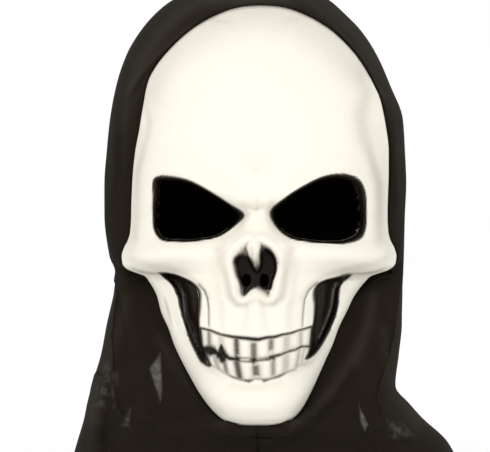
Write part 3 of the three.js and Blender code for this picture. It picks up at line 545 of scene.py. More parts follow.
KEPT = -9.0                    # a point is cut away where the cut is 0 or more
cut = np.full(x.shape, KEPT)
for points in SOCKETS.values():
    x, z, depth, inside, s, near = hollow(x, z, depth, rounded(points), SOCKET_DEPTH, SOCKET_BAND, False)
    cut = np.maximum(cut, inside - np.maximum(SOCKET_BAND, near[:, 2]))
    bare_edge = 0.6 * ease(0.8, 1.0, s) * (near[:, 1] < TRIM_BELOW)
    paint = np.maximum(paint, ease(-near[:, 3], 0.25, inside) * (1 - bare_edge))
in_cheek = np.zeros(x.shape, bool)
for points in CHEEKS.values():
    x, z, depth, inside, s, near = hollow(x, z, depth, rounded(points), CHEEK_DEPTH, WALL_BAND, True)
    in_cheek |= inside > 0.5
    paint = np.maximum(paint, ease(-near[:, 3], 0.5, inside))
x, z, depth, nose_in = hollow(x, z, depth, nose_edge, NOSE_DEPTH, WALL_BAND, True)[:4]

NOSTRILS = [(-6.0, -30.0), (4.0, -30.0)]
NOSTRIL_HALF = (2.5, 3.7)
for mid_x, mid_z in NOSTRILS:
    from_x, from_z = (x - mid_x) / NOSTRIL_HALF[0], (z - mid_z) / NOSTRIL_HALF[1]
    radius = np.hypot(from_x, from_z)
    hole = radius < 1
    cut = np.maximum(cut, np.where(hole, 1.0, KEPT))
    x = np.where(hole, mid_x + (x - mid_x) / np.maximum(radius, 1e-6), x)
    z = np.where(hole, mid_z + (z - mid_z) / np.maximum(radius, 1e-6), z)

# Moulded ridges in the cheek hollows: rows of (across, up, half breadth, rise).
RIDGED = [
    [(-50.6, -28.1, 0.88, 0.5), (-44.6, -33.6, 1.04, 1.3), (-41.8, -39.4, 1.09, 2),
     (-41.1, -48.1, 1.09, 2), (-38, -56.9, 1.09, 2), (-33.6, -67.1, 1.09, 1.8),
     (-28.2, -74.4, 1.31, 1.2)],
    [(47.3, -29.5, 1.09, 1.2), (42.9, -34.5, 1.09, 2), (42, -40.5, 1.09, 2.2), (40.5, -48.7, 1.09, 2),
     (36.9, -56.9, 1.09, 1.8), (32.5, -66.2, 1.09, 1.5)],
]
for line in RIDGED:
    depth += stroke(line, x, z) * in_cheek

# The black in the aperture has an outline of its own, each point with the reach of its soft edge.
NOSE_BLACK = [
    (-11.2, -18.9, 3.4), (-9, -17.3, 3.2), (-6.3, -17, 2.6), (-3.6, -19.1, 2.6), (-1.3, -23.2, 2.6),
    (0.7, -24.9, 2.6), (2.5, -20.8, 2.8), (2.8, -15.9, 3), (4.6, -13.9, 3.8), (8.2, -15, 3.2),
    (12, -19.1, 1.6), (12.3, -23.5, 0.6), (11.2, -27.9, 0.6), (9.6, -31.7, 0.6), (7.9, -34.4, 0.9),
    (4.1, -34.6, 1.1), (1.4, -33.3, 1), (-1.1, -33.5, 0.7), (-3.6, -34.5, 0.8), (-5.5, -36.9, 0.6),
    (-7.1, -38.1, 0.8), (-7.2, -35, 1.4), (-8.2, -31.2, 2.2), (-9.6, -26.8, 2.8), (-10.3, -21.9, 3)
]
# It stops at the aperture's edge, but is sprayed on over the sides of the septum.
SEPTUM_X = -0.3
SEPTUM_HALF = 4.0
black_in, near = nearest(rounded(NOSE_BLACK), x, z, closed=True)
over_edge = 0.5 + 2.4 * bell((x - SEPTUM_X) / SEPTUM_HALF) * ease(-33, -27, z)
paint = np.maximum(paint, ease(-near[:, 2], 0.5, black_in) * ease(-over_edge, 0.5, nose_in))

# Lines brushed and sprayed in black; painted highlights that lighten the black along the ridges and walls
# of the hollows; and soft grey-brown shade, partly the mask's own airbrushing and partly painted shade of
# its
# form: rows of (across, up, half breadth, strength).
PAINTED = [
    [(0.1, -18.1, 1.09, 0.05), (0.3, -20.8, 1.64, 0.3), (0.5, -23.5, 1.75, 0.9), (0.6, -25.7, 1.64, 1)],
    [(-32, -56.2, 0.6, 0.8), (-25.4, -57.5, 0.66, 0.75), (-20, -59.5, 0.66, 0.75),
     (-12.3, -60.8, 0.82, 0.9), (-7.4, -61.2, 0.88, 0.95), (-1, -61.9, 0.98, 1), (0.8, -62, 0.88, 1),
     (5.2, -61, 0.77, 0.9), (9.6, -60.7, 0.77, 0.9), (13.9, -59.5, 0.66, 0.8),
     (18.3, -58.9, 0.66, 0.75), (22.7, -57.5, 0.6, 0.7), (26.9, -56.5, 0.6, 0.75),
     (30.9, -55.6, 0.71, 0.9)],
    [(-30, -67.7, 1.31, 1), (-28.2, -68.3, 2.41, 1.2), (-26, -68.5, 2.74, 1.3),
     (-24.1, -68.8, 2.3, 1.2), (-22.2, -69.8, 1.2, 1), (-17, -71.3, 1.09, 1), (-15.3, -72.5, 0.82, 1),
     (-11.2, -73, 0.82, 1)],
    [(-20.7, -70.9, 1.86, 1.2), (-19.3, -70.6, 2.95, 1.3), (-18, -71.3, 1.97, 1.2)],
    [(-11.2, -72.8, 0.77, 0.9), (-7.9, -72.1, 0.6, 0.22), (-4.1, -72, 0.55, 0.2),
     (0.3, -72.2, 0.55, 0.18), (3.6, -72.3, 0.6, 0.2), (7.4, -71.9, 0.66, 0.5)],
    [(-9.6, -74, 0.55, 0.35), (-5.2, -74.2, 0.55, 0.38), (-1.9, -74.1, 0.66, 0.8),
     (0.3, -73.5, 0.6, 0.5), (4.1, -73.2, 0.6, 0.55), (7.4, -72.9, 0.66, 0.7)],
    [(7.4, -71.9, 0.88, 0.9), (13.4, -70.4, 0.66, 0.62), (17.8, -68.7, 0.66, 0.62),
     (21.1, -68.2, 0.6, 0.6), (24.1, -66.5, 0.71, 0.8), (26.5, -66.5, 0.6, 0.6),
     (29.8, -66.8, 0.88, 1)],
    [(-19.6, -65.6, 0.71, 0.9), (-19.5, -67.5, 1.53, 1.1), (-19.3, -70, 2.63, 1.3),
     (-18.9, -73.1, 1.86, 1.1)],
    [(-18.7, -73.8, 1.09, 0.5), (-17.6, -76, 0.82, 0.42), (-16.6, -79.3, 0.77, 0.36)],
    [(-29.5, -68.4, 1.2, 1), (-29.3, -71.1, 1.09, 1), (-29.3, -73.3, 0.98, 0.9)],
    [(-11.5, -71.3, 0.88, 0.6), (-10.7, -72.8, 1.75, 0.95), (-9.6, -73.7, 0.88, 0.6)],
    [(-3.2, -73, 0.88, 0.6), (-1.6, -73.3, 2.08, 0.97), (0.3, -73.6, 0.77, 0.5)],
    [(6.8, -72.5, 0.66, 0.6), (8.7, -71.9, 1.31, 0.85), (9.4, -73.3, 0.77, 0.5)],
    [(-26.3, -75.9, 0.82, 0.12), (-22.9, -77.6, 0.82, 0.15), (-16.7, -81.1, 0.77, 0.2),
     (-13.2, -83, 0.71, 0.4), (-9.7, -83.9, 0.71, 0.45), (-7.4, -84.5, 0.71, 0.4),
     (-4.5, -85, 0.88, 0.65), (-3, -84.6, 0.77, 0.5), (-1, -83.7, 0.6, 0.2), (2.9, -83.9, 0.66, 0.3),
     (3.8, -84.8, 0.82, 0.65), (7.3, -83.9, 0.66, 0.4), (12, -82.6, 0.82, 0.55),
     (16.8, -80.2, 0.66, 0.25), (20.8, -79.3, 0.66, 0.2), (23, -76.9, 0.77, 0.15),
     (26, -76.5, 0.88, 0.15), (28.6, -74.9, 0.88, 0.1)],
    [(-32.3, -32.3, 0.6, 0.3), (-29, -35.6, 0.55, 0.42), (-27.3, -39.9, 0.49, 0.5),
     (-26.6, -45.9, 0.49, 0.45), (-26.6, -55.2, 0.49, 0.3)],
    [(33.1, -31.4, 0.6, 0.3), (28.5, -35.3, 0.55, 0.35), (26.1, -40.5, 0.49, 0.42),
     (25.2, -48.7, 0.49, 0.38), (24.9, -55.2, 0.49, 0.3)],
]
# Painted highlights: lighter lines along the moulded ridges in the cheek hollows, and glints on the
# hollows' walls and in the nose.
PAINTED_HIGHLIGHTS = [
    [(-51.1, -27.7, 0.49, 0), (-47.9, -29.8, 0.55, 0.35), (-44.6, -33.6, 0.6, 0.3),
     (-42, -38.8, 0.71, 0.5), (-41.4, -44.9, 0.71, 0.55), (-40.8, -50.3, 0.71, 0.5),
     (-38.6, -55.6, 0.66, 0.38), (-36.4, -61.3, 0.66, 0.36), (-33.6, -67.1, 0.71, 0.36),
     (-30.4, -72.2, 0.93, 0.42), (-27.1, -75.7, 1.2, 0.5)],
    [(48.4, -29, 0.88, 0.4), (44.6, -31.9, 0.82, 0.5), (42.6, -35.6, 0.77, 0.52),
     (42, -40.5, 0.77, 0.56), (41.5, -44.9, 0.71, 0.52), (40.2, -49.2, 0.71, 0.45),
     (38, -54.7, 0.66, 0.4), (35.3, -60.2, 0.71, 0.34), (32.5, -66.2, 0.88, 0.3)],
    [(-33.4, -35.6, 0.44, 0.85), (-32.7, -38.3, 0.44, 0.85), (-31.8, -41, 0.38, 0.5)],
    [(30.9, -35, 0.82, 0.5), (30.1, -38.8, 0.82, 0.45), (29.8, -43.8, 0.66, 0.3)],
    [(-4.4, -33.6, 0.44, 0.4), (-6.5, -36.6, 0.44, 0.55)],
]
# Partly the mask's own airbrushing, partly painted shade of its form: in the nose's ring groove and the
# maxilla, under the cheekbones, in creases, round the forehead's top and down the temples and jaw.
SHADED = [
    [(-16.7, -5.5, 2.74, 0.12), (-20.5, -12.6, 3.28, 0.3), (-19.7, -19.7, 2.74, 0.36),
     (-17.5, -26.8, 2.19, 0.38), (-15.9, -33.9, 1.97, 0.4), (-14.5, -39.4, 1.97, 0.42),
     (-11.2, -42.7, 1.75, 0.4), (-6.3, -43.4, 1.53, 0.3), (-3.3, -41, 1.42, 0.12)],
    [(15.6, -5.5, 2.74, 0.12), (18.3, -12.6, 3.28, 0.32), (17.5, -19.7, 2.95, 0.38),
     (16.1, -26.8, 2.41, 0.4), (15, -33.9, 1.97, 0.42), (13.7, -39.4, 1.97, 0.42),
     (9.6, -42.7, 1.75, 0.4), (3.8, -43, 1.53, 0.3), (0.8, -40.5, 1.42, 0.12)],
    [(-23.8, -19.7, 2.74, 0.1), (-21.1, -35, 2.74, 0.12), (-19.4, -45.9, 2.19, 0.14),
     (-19.4, -55.2, 2.19, 0.12)],
    [(21.6, -19.7, 2.74, 0.14), (19.4, -35, 2.74, 0.14), (18.3, -44.9, 2.19, 0.16),
     (18.3, -55.2, 2.19, 0.14)],
    [(-5.5, -43.8, 1.64, 0.14), (-5.7, -49.2, 2.19, 0.15), (-6.3, -55.8, 2.19, 0.1)],
    [(3.3, -43.8, 1.91, 0.16), (3.6, -49.2, 2.19, 0.16), (4.6, -55.8, 2.19, 0.1)],
    [(-0.6, -14.2, 1.64, 0.05), (-0.1, -17.5, 1.86, 0.35), (0.3, -20.8, 1.97, 0.75),
     (0.3, -24.6, 1.86, 0.97)],
    [(-4.6, 10.7, 1.42, 0.2), (-0.8, 9.1, 0.98, 0.42), (3, 10.7, 1.42, 0.2)],
    [(0.2, 14.8, 0.88, 0.12), (-0.2, 9.8, 0.88, 0.28)],
    [(-7.9, 11.5, 2.19, 0.2), (-5.5, 6.6, 1.97, 0.5), (-7.9, 2.2, 2.08, 0.42),
     (-10.7, -1.6, 2.19, 0.28), (-13.9, -4.9, 2.19, 0.12)],
    [(8.5, 13.1, 1.86, 0.22), (6, 8.2, 1.97, 0.55), (7.6, 2.7, 2.3, 0.5), (10.1, -2.2, 2.41, 0.34),
     (13.4, -6.6, 2.41, 0.16)],
    [(-6.3, 38.3, 4.38, 0.06), (-0.3, 31.7, 4.38, 0.12), (5.7, 38.3, 4.38, 0.06)],
    [(-70.8, -19.1, 2.19, 0.2), (-58.8, -22.1, 2.3, 0.28), (-49, -23.2, 2.19, 0.26),
     (-39.7, -26.6, 1.64, 0.24), (-31.5, -32.3, 1.42, 0.3), (-26.5, -39.4, 1.64, 0.18)],
    [(-71.4, -23.5, 0.77, 0.3), (-67, -25.7, 0.82, 0.6), (-60.4, -26.8, 0.82, 0.75),
     (-53.3, -26.7, 0.82, 0.75), (-46.8, -27.1, 0.82, 0.6)],
    [(47.3, -27.1, 0.82, 0.6), (53.9, -26.8, 0.82, 0.75), (60.4, -26.8, 0.82, 0.75),
     (67, -25.9, 0.82, 0.6), (71.4, -23.7, 0.77, 0.35)],
    [(-57.7, -29.5, 1.42, 0.2), (-50.1, -29, 1.31, 0.34), (-45.7, -30.6, 1.09, 0.2)],
    [(48.4, -30.1, 1.2, 0.3), (53.9, -29, 1.42, 0.34), (59.3, -29.5, 1.42, 0.2)],
    [(71.4, -19.1, 2.19, 0.24), (59.3, -22.1, 2.3, 0.3), (47.9, -24.6, 1.97, 0.28),
     (36.9, -27.9, 1.42, 0.26), (29.3, -32.8, 1.53, 0.3), (24.3, -39.9, 1.64, 0.16)],
    [(-11, -27.9, 1.09, 0.45), (-12, -23, 1.42, 0.7), (-11.4, -18.6, 1.53, 0.8), (-9.8, -15, 1.2, 0.6),
     (-7.5, -11.7, 0.82, 0.5), (-4.8, -8.9, 0.71, 0.4)],
    [(1.6, -8.6, 0.66, 0.35), (4.4, -10.7, 0.82, 0.5), (7.3, -13.2, 1.2, 0.65),
     (9.6, -16.6, 1.42, 0.75), (11.2, -20.2, 1.31, 0.7)],
    [(-9.6, -31.7, 0.88, 0.35), (-8.9, -36.4, 1.31, 0.45)],
    [(3.2, -35.9, 1.09, 0.4), (5.9, -37.6, 1.31, 0.5)],
    [(-2.8, -11.5, 0.82, 0.3), (-2.6, -16.4, 1.09, 0.5), (-1.4, -20.8, 1.31, 0.7)],
    [(-53, -39.9, 1.2, 0.2), (-51.4, -44.9, 1.2, 0.62), (-49.9, -50.3, 1.09, 0.55),
     (-48.7, -55.8, 0.88, 0.2)],
    [(-13.9, -87.5, 1.64, 0.1), (-4.1, -88.8, 1.97, 0.16), (2.5, -88.6, 1.97, 0.16),
     (13.4, -86.2, 1.64, 0.1)],
    [(-40.2, -58.5, 1.31, 0.2), (-36, -67.3, 1.42, 0.32), (-30.9, -75.5, 1.64, 0.4),
     (-24.9, -79.6, 1.64, 0.24), (-19.4, -82.6, 1.64, 0.1)],
    [(41.3, -59.6, 1.31, 0.2), (35.8, -68.4, 1.42, 0.32), (29.8, -75.7, 1.64, 0.4),
     (24.3, -78.8, 1.64, 0.24), (18.9, -81.8, 1.64, 0.1)],
    [(-60.4, -36.1, 2.19, 0.12), (-51.7, -58, 2.19, 0.14), (-41.8, -77.7, 2.19, 0.12),
     (-29.8, -94.1, 2.19, 0.14), (-19.4, -102.8, 2.19, 0.2)],
    [(60.4, -33.9, 2.19, 0.2), (50.1, -58, 2.19, 0.24), (40.2, -77.7, 2.19, 0.22),
     (29.3, -94.1, 2.74, 0.24), (20.5, -102.8, 2.41, 0.26)],
    [(-16.1, -106.7, 1.31, 0.25), (-0.3, -108.3, 1.2, 0.25), (16.7, -106.7, 1.31, 0.25)],
    [(-64.1, 68.7, 1.69, 0.2), (-61.9, 59.1, 2.25, 0.34), (-63, 50.7, 2.25, 0.3),
     (-65.6, 42.2, 2.25, 0.3), (-68.7, 30.4, 2.03, 0.34), (-69.5, 14.6, 2.25, 0.2),
     (-69.9, -6.8, 2.25, 0.22)],
    [(58.3, 90.1, 3.94, 0.12), (61.6, 75.4, 4.5, 0.26), (57.7, 62.5, 4.79, 0.32),
     (60, 49.5, 4.5, 0.36), (63.9, 38.3, 3.38, 0.45), (68.4, 23.1, 3.38, 0.6), (68.7, 7.9, 3.38, 0.56),
     (68.4, -7.9, 3.94, 0.36)],
    [(-28.4, 117.6, 1.35, 0.1), (-24.5, 116.7, 1.35, 0.26), (-20, 115.9, 1.35, 0.26),
     (-15.5, 115.4, 1.24, 0.08)],
    [(14.4, 116, 1.24, 0.08), (18.3, 116.4, 1.35, 0.22), (22.2, 117.3, 1.35, 0.22),
     (25.6, 118.2, 1.24, 0.08)],
    [(-62.8, 75.4, 9.57, 0.26), (-54.9, 93.5, 11.26, 0.26), (-38, 108.1, 12.39, 0.26),
     (-18.3, 119.4, 13.51, 0.32), (-0.3, 122.7, 13.51, 0.36), (21.1, 118.8, 13.51, 0.32),
     (40.8, 105.8, 12.39, 0.28), (56.6, 87.8, 10.13, 0.28)],
    [(-66.2, 54, 3.38, 0.16), (-67.3, 37.2, 3.94, 0.22), (-67.8, 20.3, 3.94, 0.22),
     (-68.4, 6.2, 3.94, 0.2), (-70.7, -7.9, 4.5, 0.2), (-73.5, -16.3, 3.94, 0.18)],
    [(67.8, 54, 3.38, 0.1), (71.2, 37.2, 3.38, 0.16), (71.8, 14.6, 3.38, 0.12),
     (72.3, -5.6, 4.5, 0.14), (74.6, -16.3, 3.94, 0.2)],
]
for line in PAINTED:
    paint = np.maximum(paint, stroke(line, x, z))
# The painted highlights lighten the black only in the cheek hollows and the nose.
for line in PAINTED_HIGHLIGHTS:
    paint *= 1 - stroke(line, x, z) * (in_cheek | (nose_in > 0))
# Painted shade, partly the mask's grey-brown airbrushing: the strokes above, and a share more inside the
# nose's aperture.
left_light = 1 - shade
for line in SHADED:
    left_light *= 1 - np.clip(stroke(line, x, z), 0, 1)
shade = 1 - left_light * (1 - 0.3 * ease(-0.5, 1.0, nose_in))

placed = np.column_stack((x, -depth, SIGHT_Z + z)) * MM
mask_mesh.vertices.foreach_set("co", placed.ravel())
note_values(mask_mesh, "paint", np.clip(paint, 0, 1))
note_values(mask_mesh, "shade", np.clip(shade, 0, 1))
bm = bmesh.new()
bm.from_mesh(mask_mesh)
bm.verts.ensure_lookup_table()
gone = [face for face in bm.faces if all(cut[vert.index] >= 0 for vert in face.verts)]
bmesh.ops.delete(bm, geom=gone, context="FACES")
bmesh.ops.recalc_face_normals(bm, faces=bm.faces)
if sum(face.normal.y for face in bm.faces) > 0:
    bmesh.ops.reverse_faces(bm, faces=bm.faces)
for face in bm.faces:
    face.smooth = True
bm.to_mesh(mask_mesh)
bm.free()

skull_mask = bpy.data.objects.new("skull_mask", mask_mesh)
bpy.context.scene.collection.objects.link(skull_mask)
shell = skull_mask.modifiers.new("shell", "SOLIDIFY")
shell.thickness = SHELL_WALL * MM
shell.offset = -1.0
shell.material_offset = 1


def noise(nodes, links, scale, detail):
    """A noise over the object, in features per metre."""
    place = nodes.new("ShaderNodeTexCoord")
    texture = nodes.new("ShaderNodeTexNoise")
    texture.inputs["Scale"].default_value = scale
    texture.inputs["Detail"].default_value = detail
    links.new(place.outputs["Object"], texture.inputs["Vector"])
    return texture.outputs["Fac"]


def sprayed_mask(nodes, links, attribute, grain, breakup, cover):
    """The spray mask of one of the mesh's attributes."""
    amount = nodes.new("ShaderNodeAttribute")
    amount.attribute_name = attribute
    group = nodes.new("ShaderNodeGroup")
    group.node_tree = spray_edge
    links.new(amount.outputs["Fac"], group.inputs["Amount"])
    group.inputs["Grain"].default_value = grain
    group.inputs["Breakup"].default_value = breakup
    group.inputs["Cover"].default_value = cover
    return group.outputs["Mask"]


def blend(nodes, links, factor, first, second, kind="RGBA"):
    """A mix of two colours or two values."""
    node = nodes.new("ShaderNodeMix")
    node.data_type = kind
    own = [socket for socket in node.inputs if socket.enabled]
    for socket, value in zip(own, (factor, first, second)):
        if hasattr(value, "node"):
            links.new(value, socket)
        else:
            socket.default_value = value
    return next(socket for socket in node.outputs if socket.enabled)


ivory = bpy.data.materials.new("painted_ivory")
ivory.use_nodes = True
nodes, links = ivory.node_tree.nodes, ivory.node_tree.links
surface = nodes["Principled BSDF"]
black = sprayed_mask(nodes, links, "paint", 1500.0, 0.6, 2.2)
# The shade attribute turns the ivory grey-brown: partly the mask's airbrushing, partly painted shade.
soft_grey = sprayed_mask(nodes, links, "shade", 700.0, 0.25, 1.15)
clouds = noise(nodes, links, 28.0, 3.0)
clean = blend(nodes, links, clouds, (0.82, 0.79, 0.695, 1.0), (0.785, 0.76, 0.675, 1.0))
shaded = blend(nodes, links, soft_grey, clean, (0.40, 0.365, 0.31, 1.0))
painted = blend(nodes, links, black, shaded, (0.0125, 0.0085, 0.0055, 1.0))
links.new(painted, surface.inputs["Base Color"])
satin = blend(nodes, links, noise(nodes, links, 90.0, 4.0), 0.40, 0.52, "FLOAT")
links.new(blend(nodes, links, black, satin, 0.26, "FLOAT"), surface.inputs["Roughness"])
surface.inputs["Specular IOR Level"].default_value = 0.09
dimples = nodes.new("ShaderNodeBump")
dimples.inputs["Strength"].default_value = 0.12
dimples.inputs["Distance"].default_value = 0.0004
links.new(noise(nodes, links, 420.0, 3.0), dimples.inputs["Height"])
links.new(dimples.outputs["Normal"], surface.inputs["Normal"])
skull_mask.data.materials.append(ivory)

bare = bpy.data.materials.new("bare_plastic")
bare.use_nodes = True
nodes, links = bare.node_tree.nodes, bare.node_tree.links
surface = nodes["Principled BSDF"]
overspray = sprayed_mask(nodes, links, "paint", 1100.0, 0.9, 2.2)
clouds = noise(nodes, links, 40.0, 2.0)
plain = blend(nodes, links, clouds, (0.80, 0.775, 0.70, 1.0), (0.75, 0.73, 0.66, 1.0))
dusted = blend(nodes, links, overspray, plain, (0.02, 0.016, 0.013, 1.0))
links.new(dusted, surface.inputs["Base Color"])
dull = blend(nodes, links, noise(nodes, links, 150.0, 2.0), 0.5, 0.62, "FLOAT")
links.new(dull, surface.inputs["Roughness"])
skull_mask.data.materials.append(bare)
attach(skull_mask, "root")
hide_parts("mask_shell")

# The hood: thin black knitted cloth, sewn with one seam down the middle of the front and glued behind the
# mask's rim. It is pulled over the head and hangs plainly to its hem round the neck and shoulders.
HOOD_WIDTH = 178.0
HOOD_DEPTH = 212.0
HOOD_DROP = 303.0
HOOD_CLEAR = 1.5               # how far the cloth stands outside the mask's rim
TUCK = 6.0                     # how far it reaches forward inside the mask
TUCK_IN = 2.5                  # and how far under the mask's surface it lies there
BEHIND_RIM = 0.45              # the cloth passes this far behind the rim
CLOTH_WALL = 0.8
HOOD_SQUARE = 2.3              # how boxy the hood is across: 2 is an ellipse
HALF_COLUMNS = 128
HOOD_RINGS = 140

# The hood by height, as shares of its drop, half its width and half its depth.
HOOD_ROWS = table("drop left right front back", [
    (0.000, 0.000, 0.000, 0.000, 0.000), (0.020, 0.412, 0.312, 0.310, -0.340),
    (0.038, 0.565, 0.445, 0.415, -0.472), (0.069, 0.701, 0.569, 0.528, -0.623),
    (0.101, 0.794, 0.674, 0.623, -0.736), (0.148, 0.890, 0.779, 0.726, -0.849),
    (0.210, 0.959, 0.872, 0.811, -0.934), (0.274, 0.998, 0.952, 0.868, -0.981),
    (0.336, 1.018, 0.965, 0.887, -1.000), (0.399, 1.032, 0.973, 0.896, -1.000),
    (0.462, 1.030, 0.963, 0.896, -0.972), (0.541, 0.993, 0.955, 0.877, -0.896),
    (0.572, 0.951, 0.950, 0.868, -0.858), (0.604, 0.973, 0.945, 0.858, -0.821),
    (0.667, 1.016, 0.947, 0.840, -0.755), (0.729, 1.051, 0.927, 0.821, -0.717),
    (0.792, 1.111, 0.904, 0.811, -0.726), (0.799, 1.117, 0.910, 0.810, -0.729),
    (0.824, 1.139, 0.985, 0.807, -0.745), (0.855, 1.162, 1.076, 0.792, -0.774),
    (0.906, 1.218, 1.256, 0.717, -0.830), (1.000, 1.305, 1.400, 0.774, -0.925)])
HOOD_ROWS["root"] = np.sqrt(HOOD_ROWS["drop"])

# Folds seen from the front: from one point to the next, how far they stand up or sink, and their half
# breadth. Points are across and up from the sight line, in mm.
FOLDS = table("x z to_x to_z rise reach", [
    (68, -36, 61, -67, 3.2, 7), (61, -67, 50, -90, 4.0, 8), (50, -90, 32, -107, 4.0, 8),
    (32, -107, 0, -118, 4.0, 6.2), (0, -118, -27, -104, 4.0, 6.2), (-27, -104, -57, -84, 3.6, 8),
    (-76, -31, -64, -85, 3.6, 6.2), (-82, -43, -82, -128, -2.0, 10), (80, -55, 75, -116, -0.8, 11),
    (74, -122, 98, -155, 1.6, 6),
    (-35, 121, -53, 102, -1.3, 2.6), (-53, 102, -64, 91, -1.4, 2.6), (-64, 91, -75, 72, -1.4, 2.6),
    (35, 127, 46, 115, -1.0, 2.4), (46, 115, 60, 99, -1.2, 2.4), (60, 99, 73, 77, -1.2, 2.4),
    (-79, 68, -81, 32, -0.9, 2.2), (-84, 60, -85, 20, 0.9, 2.4), (78, 55, 80, 10, 0.8, 2.4),
    (-76, -33, -70, -60, 1.6, 3.0), (-78, -34, -77, -70, 1.4, 3.0), (-74, -31, -55, -66, 1.2, 3.0),
    (-72, -60, -62, -110, 1.8, 4.0), (-90, -90, -94, -150, 2.0, 5.0), (-62, -110, -66, -155, -1.8, 4.0),
    (74, -35, 72, -75, 1.2, 3.2), (70, -118, 84, -150, 1.4, 4.0), (58, -120, 60, -155, -2.0, 4.0)])


def hood_half(z, depth, side):
    """Half breadth of the hood at a height and depth, which closes to nothing on its profile."""
    root = np.sqrt(np.clip((HOOD_CLEAR - z) / HOOD_DROP, 0, 1))
    half = along(HOOD_ROWS, "root", side, root) * HOOD_WIDTH / 2
    front = along(HOOD_ROWS, "root", "front", root) * HOOD_DEPTH / 2
    back = along(HOOD_ROWS, "root", "back", root) * HOOD_DEPTH / 2
    run = np.where(front - back == 0, 1.0, front - back)
    off = (2 * depth - front - back) / run
    return half * np.clip(1 - np.abs(off) ** HOOD_SQUARE, 0, 1) ** (1 / HOOD_SQUARE)


def profile(key, drop):
    drop = np.asarray(drop, float)
    return along(HOOD_ROWS, "root", key, np.sqrt(drop)) * HOOD_DEPTH / 2, HOOD_CLEAR - drop * HOOD_DROP


def unit(vectors):
    return vectors / np.linalg.norm(vectors, axis=-1, keepdims=True)


def face_place(u, v):
    x, depth, height, _ = face_form(u, v)
    return np.stack((x, -depth, CHIN_Z + height), axis=-1)


# Cell sizes round the rim, by the share of the way from the middle of the top to the middle of the chin.
RIM_CELLS = table("share cell", [(0, 1.3), (0.4, 1.2), (0.5, 0.8), (0.9, 0.75), (1, 0.9)])
shares = spread(RIM_CELLS["share"], RIM_CELLS["cell"], HALF_COLUMNS)
ACROSS_STEPS = 600             # points along the half of the rim's top, and along its foot
SIDE_STEPS = 900
SMOOTHED = 60                  # points over which the way out from the rim is evened, each way
OUTWARD_TURN = CHIN_Z + 60.0   # the way out from the rim leans up above this height and down below it
INSET = (0.05, 0.035)          # how far in from the rim the points lie that tell the surface's slope


def rim_frame(sign):
    """The rim of one side, as if it were the right one: its points, the way out from it and the way in
    along the mask's surface."""
    mirror = np.array((sign, 1, 1))
    ramp = np.linspace(0, 1, ACROSS_STEPS)
    u = np.concatenate((ramp, np.ones(SIDE_STEPS), ramp[::-1]))
    v = np.concatenate((np.ones(ACROSS_STEPS), np.linspace(1, 0, SIDE_STEPS), np.zeros(ACROSS_STEPS)))
    rim = face_place(sign * u, v) * mirror
    inset_v = np.clip(v, INSET[1], 1 - INSET[1])
    inset = face_place(sign * (u - INSET[0] * (u > 0.97)), inset_v) * mirror
    run = np.concatenate(([0], np.cumsum(np.linalg.norm(np.diff(rim, axis=0), axis=1))))
    onward = unit(np.gradient(rim, axis=0) + 1e-9)
    outward = unit(np.cross(onward, rim - inset))
    upwards = outward[:, 2:] * np.sign(rim[:, 2:] - OUTWARD_TURN)
    outward *= np.where(outward[:, :1] * 0.9 + upwards < 0, -1, 1)
    window = np.hanning(2 * SMOOTHED + 1)
    padded = np.pad(outward, ((SMOOTHED, SMOOTHED), (0, 0)), mode="edge")
    evened = [np.convolve(padded[:, k], window / window.sum(), mode="valid") for k in range(3)]
    picked = []
    for values in (rim, np.stack(evened, axis=-1), onward):
        columns = [np.interp(shares * run[-1], run, values[:, k]) for k in range(3)]
        picked.append(np.stack(columns, axis=-1))
    edge, outward, onward = picked[0], unit(picked[1]), unit(picked[2])
    inward = unit(np.cross(outward, onward))
    return edge, outward, inward * np.where(inward[:, 1:2] > 0, -1, 1)


rims = {"right": rim_frame(1), "left": rim_frame(-1)}

TOP_FRONT = 0.058              # drops at which the profile passes the mask's top and its chin
CHIN_FRONT = 0.851
CROWN_SHARE = 0.12             # share of the way back at which the rings' top passes the crown
RIM_BLEND = 0.12               # share of the way over which the cloth leaves the rim's own line
RING_CROWDING = 1.3            # powers that set the rings closer near the rim than near the hem
FOOT_CROWDING = 1.2


def half_ring(share, side):
    """One side's half ring, at a share of the way from the face to the hem."""
    edge, outward, inward = rims[side]
    down = (1 - np.cos(math.pi * shares)) / 2
    if share < CROWN_SHARE:
        top = profile("front", TOP_FRONT * (1 - share / CROWN_SHARE) ** 2)
    else:
        top = profile("back", ((share - CROWN_SHARE) / (1 - CROWN_SHARE)) ** 2)
    foot = profile("front", mix(CHIN_FRONT, 1, share ** FOOT_CROWDING))
    fade = (1 - share) ** 2
    depth = mix(top[0], foot[0], down) + fade * (-edge[:, 1] - mix(-edge[0, 1], -edge[-1, 1], down))
    z = mix(top[1], foot[1], down) + fade * (edge[:, 2] - mix(edge[0, 2], edge[-1, 2], down))
    half = hood_half(z, depth, side)
    half[[0, -1]] = 0
    start = edge - inward * BEHIND_RIM + outward * HOOD_CLEAR
    return mix(start, np.stack((half, -depth, z), axis=-1), ease(0, RIM_BLEND, share))


def tucked(side, forward, out):
    edge, outward, inward = rims[side]
    return edge + inward * forward + outward * out


def around(right, left):
    return np.concatenate((right, left[-2:0:-1] * np.array((-1, 1, 1))))


# The cloth's rows: the strip that is glued inside the mask, forward of its rim and up to it, then the
# rings from the rim back over the head and down to the hem.
TUCKS = [(TUCK, -TUCK_IN), (TUCK / 2, -TUCK_IN), (0, -TUCK_IN), (-BEHIND_RIM, -TUCK_IN + 1),
         (-BEHIND_RIM, 0)]
rows = [around(tucked("right", *by), tucked("left", *by)) for by in TUCKS]
flat_rows = len(rows)
rows += [around(half_ring(share, "right"), half_ring(share, "left"))
         for share in (np.arange(HOOD_RINGS + 1) / HOOD_RINGS) ** RING_CROWDING]
cloth = np.stack(rows)


def cloth_normals(cloth):
    across = np.roll(cloth, -1, axis=1) - np.roll(cloth, 1, axis=1)
    down = np.gradient(cloth, axis=0)
    return unit(np.cross(across, down) + 1e-12)


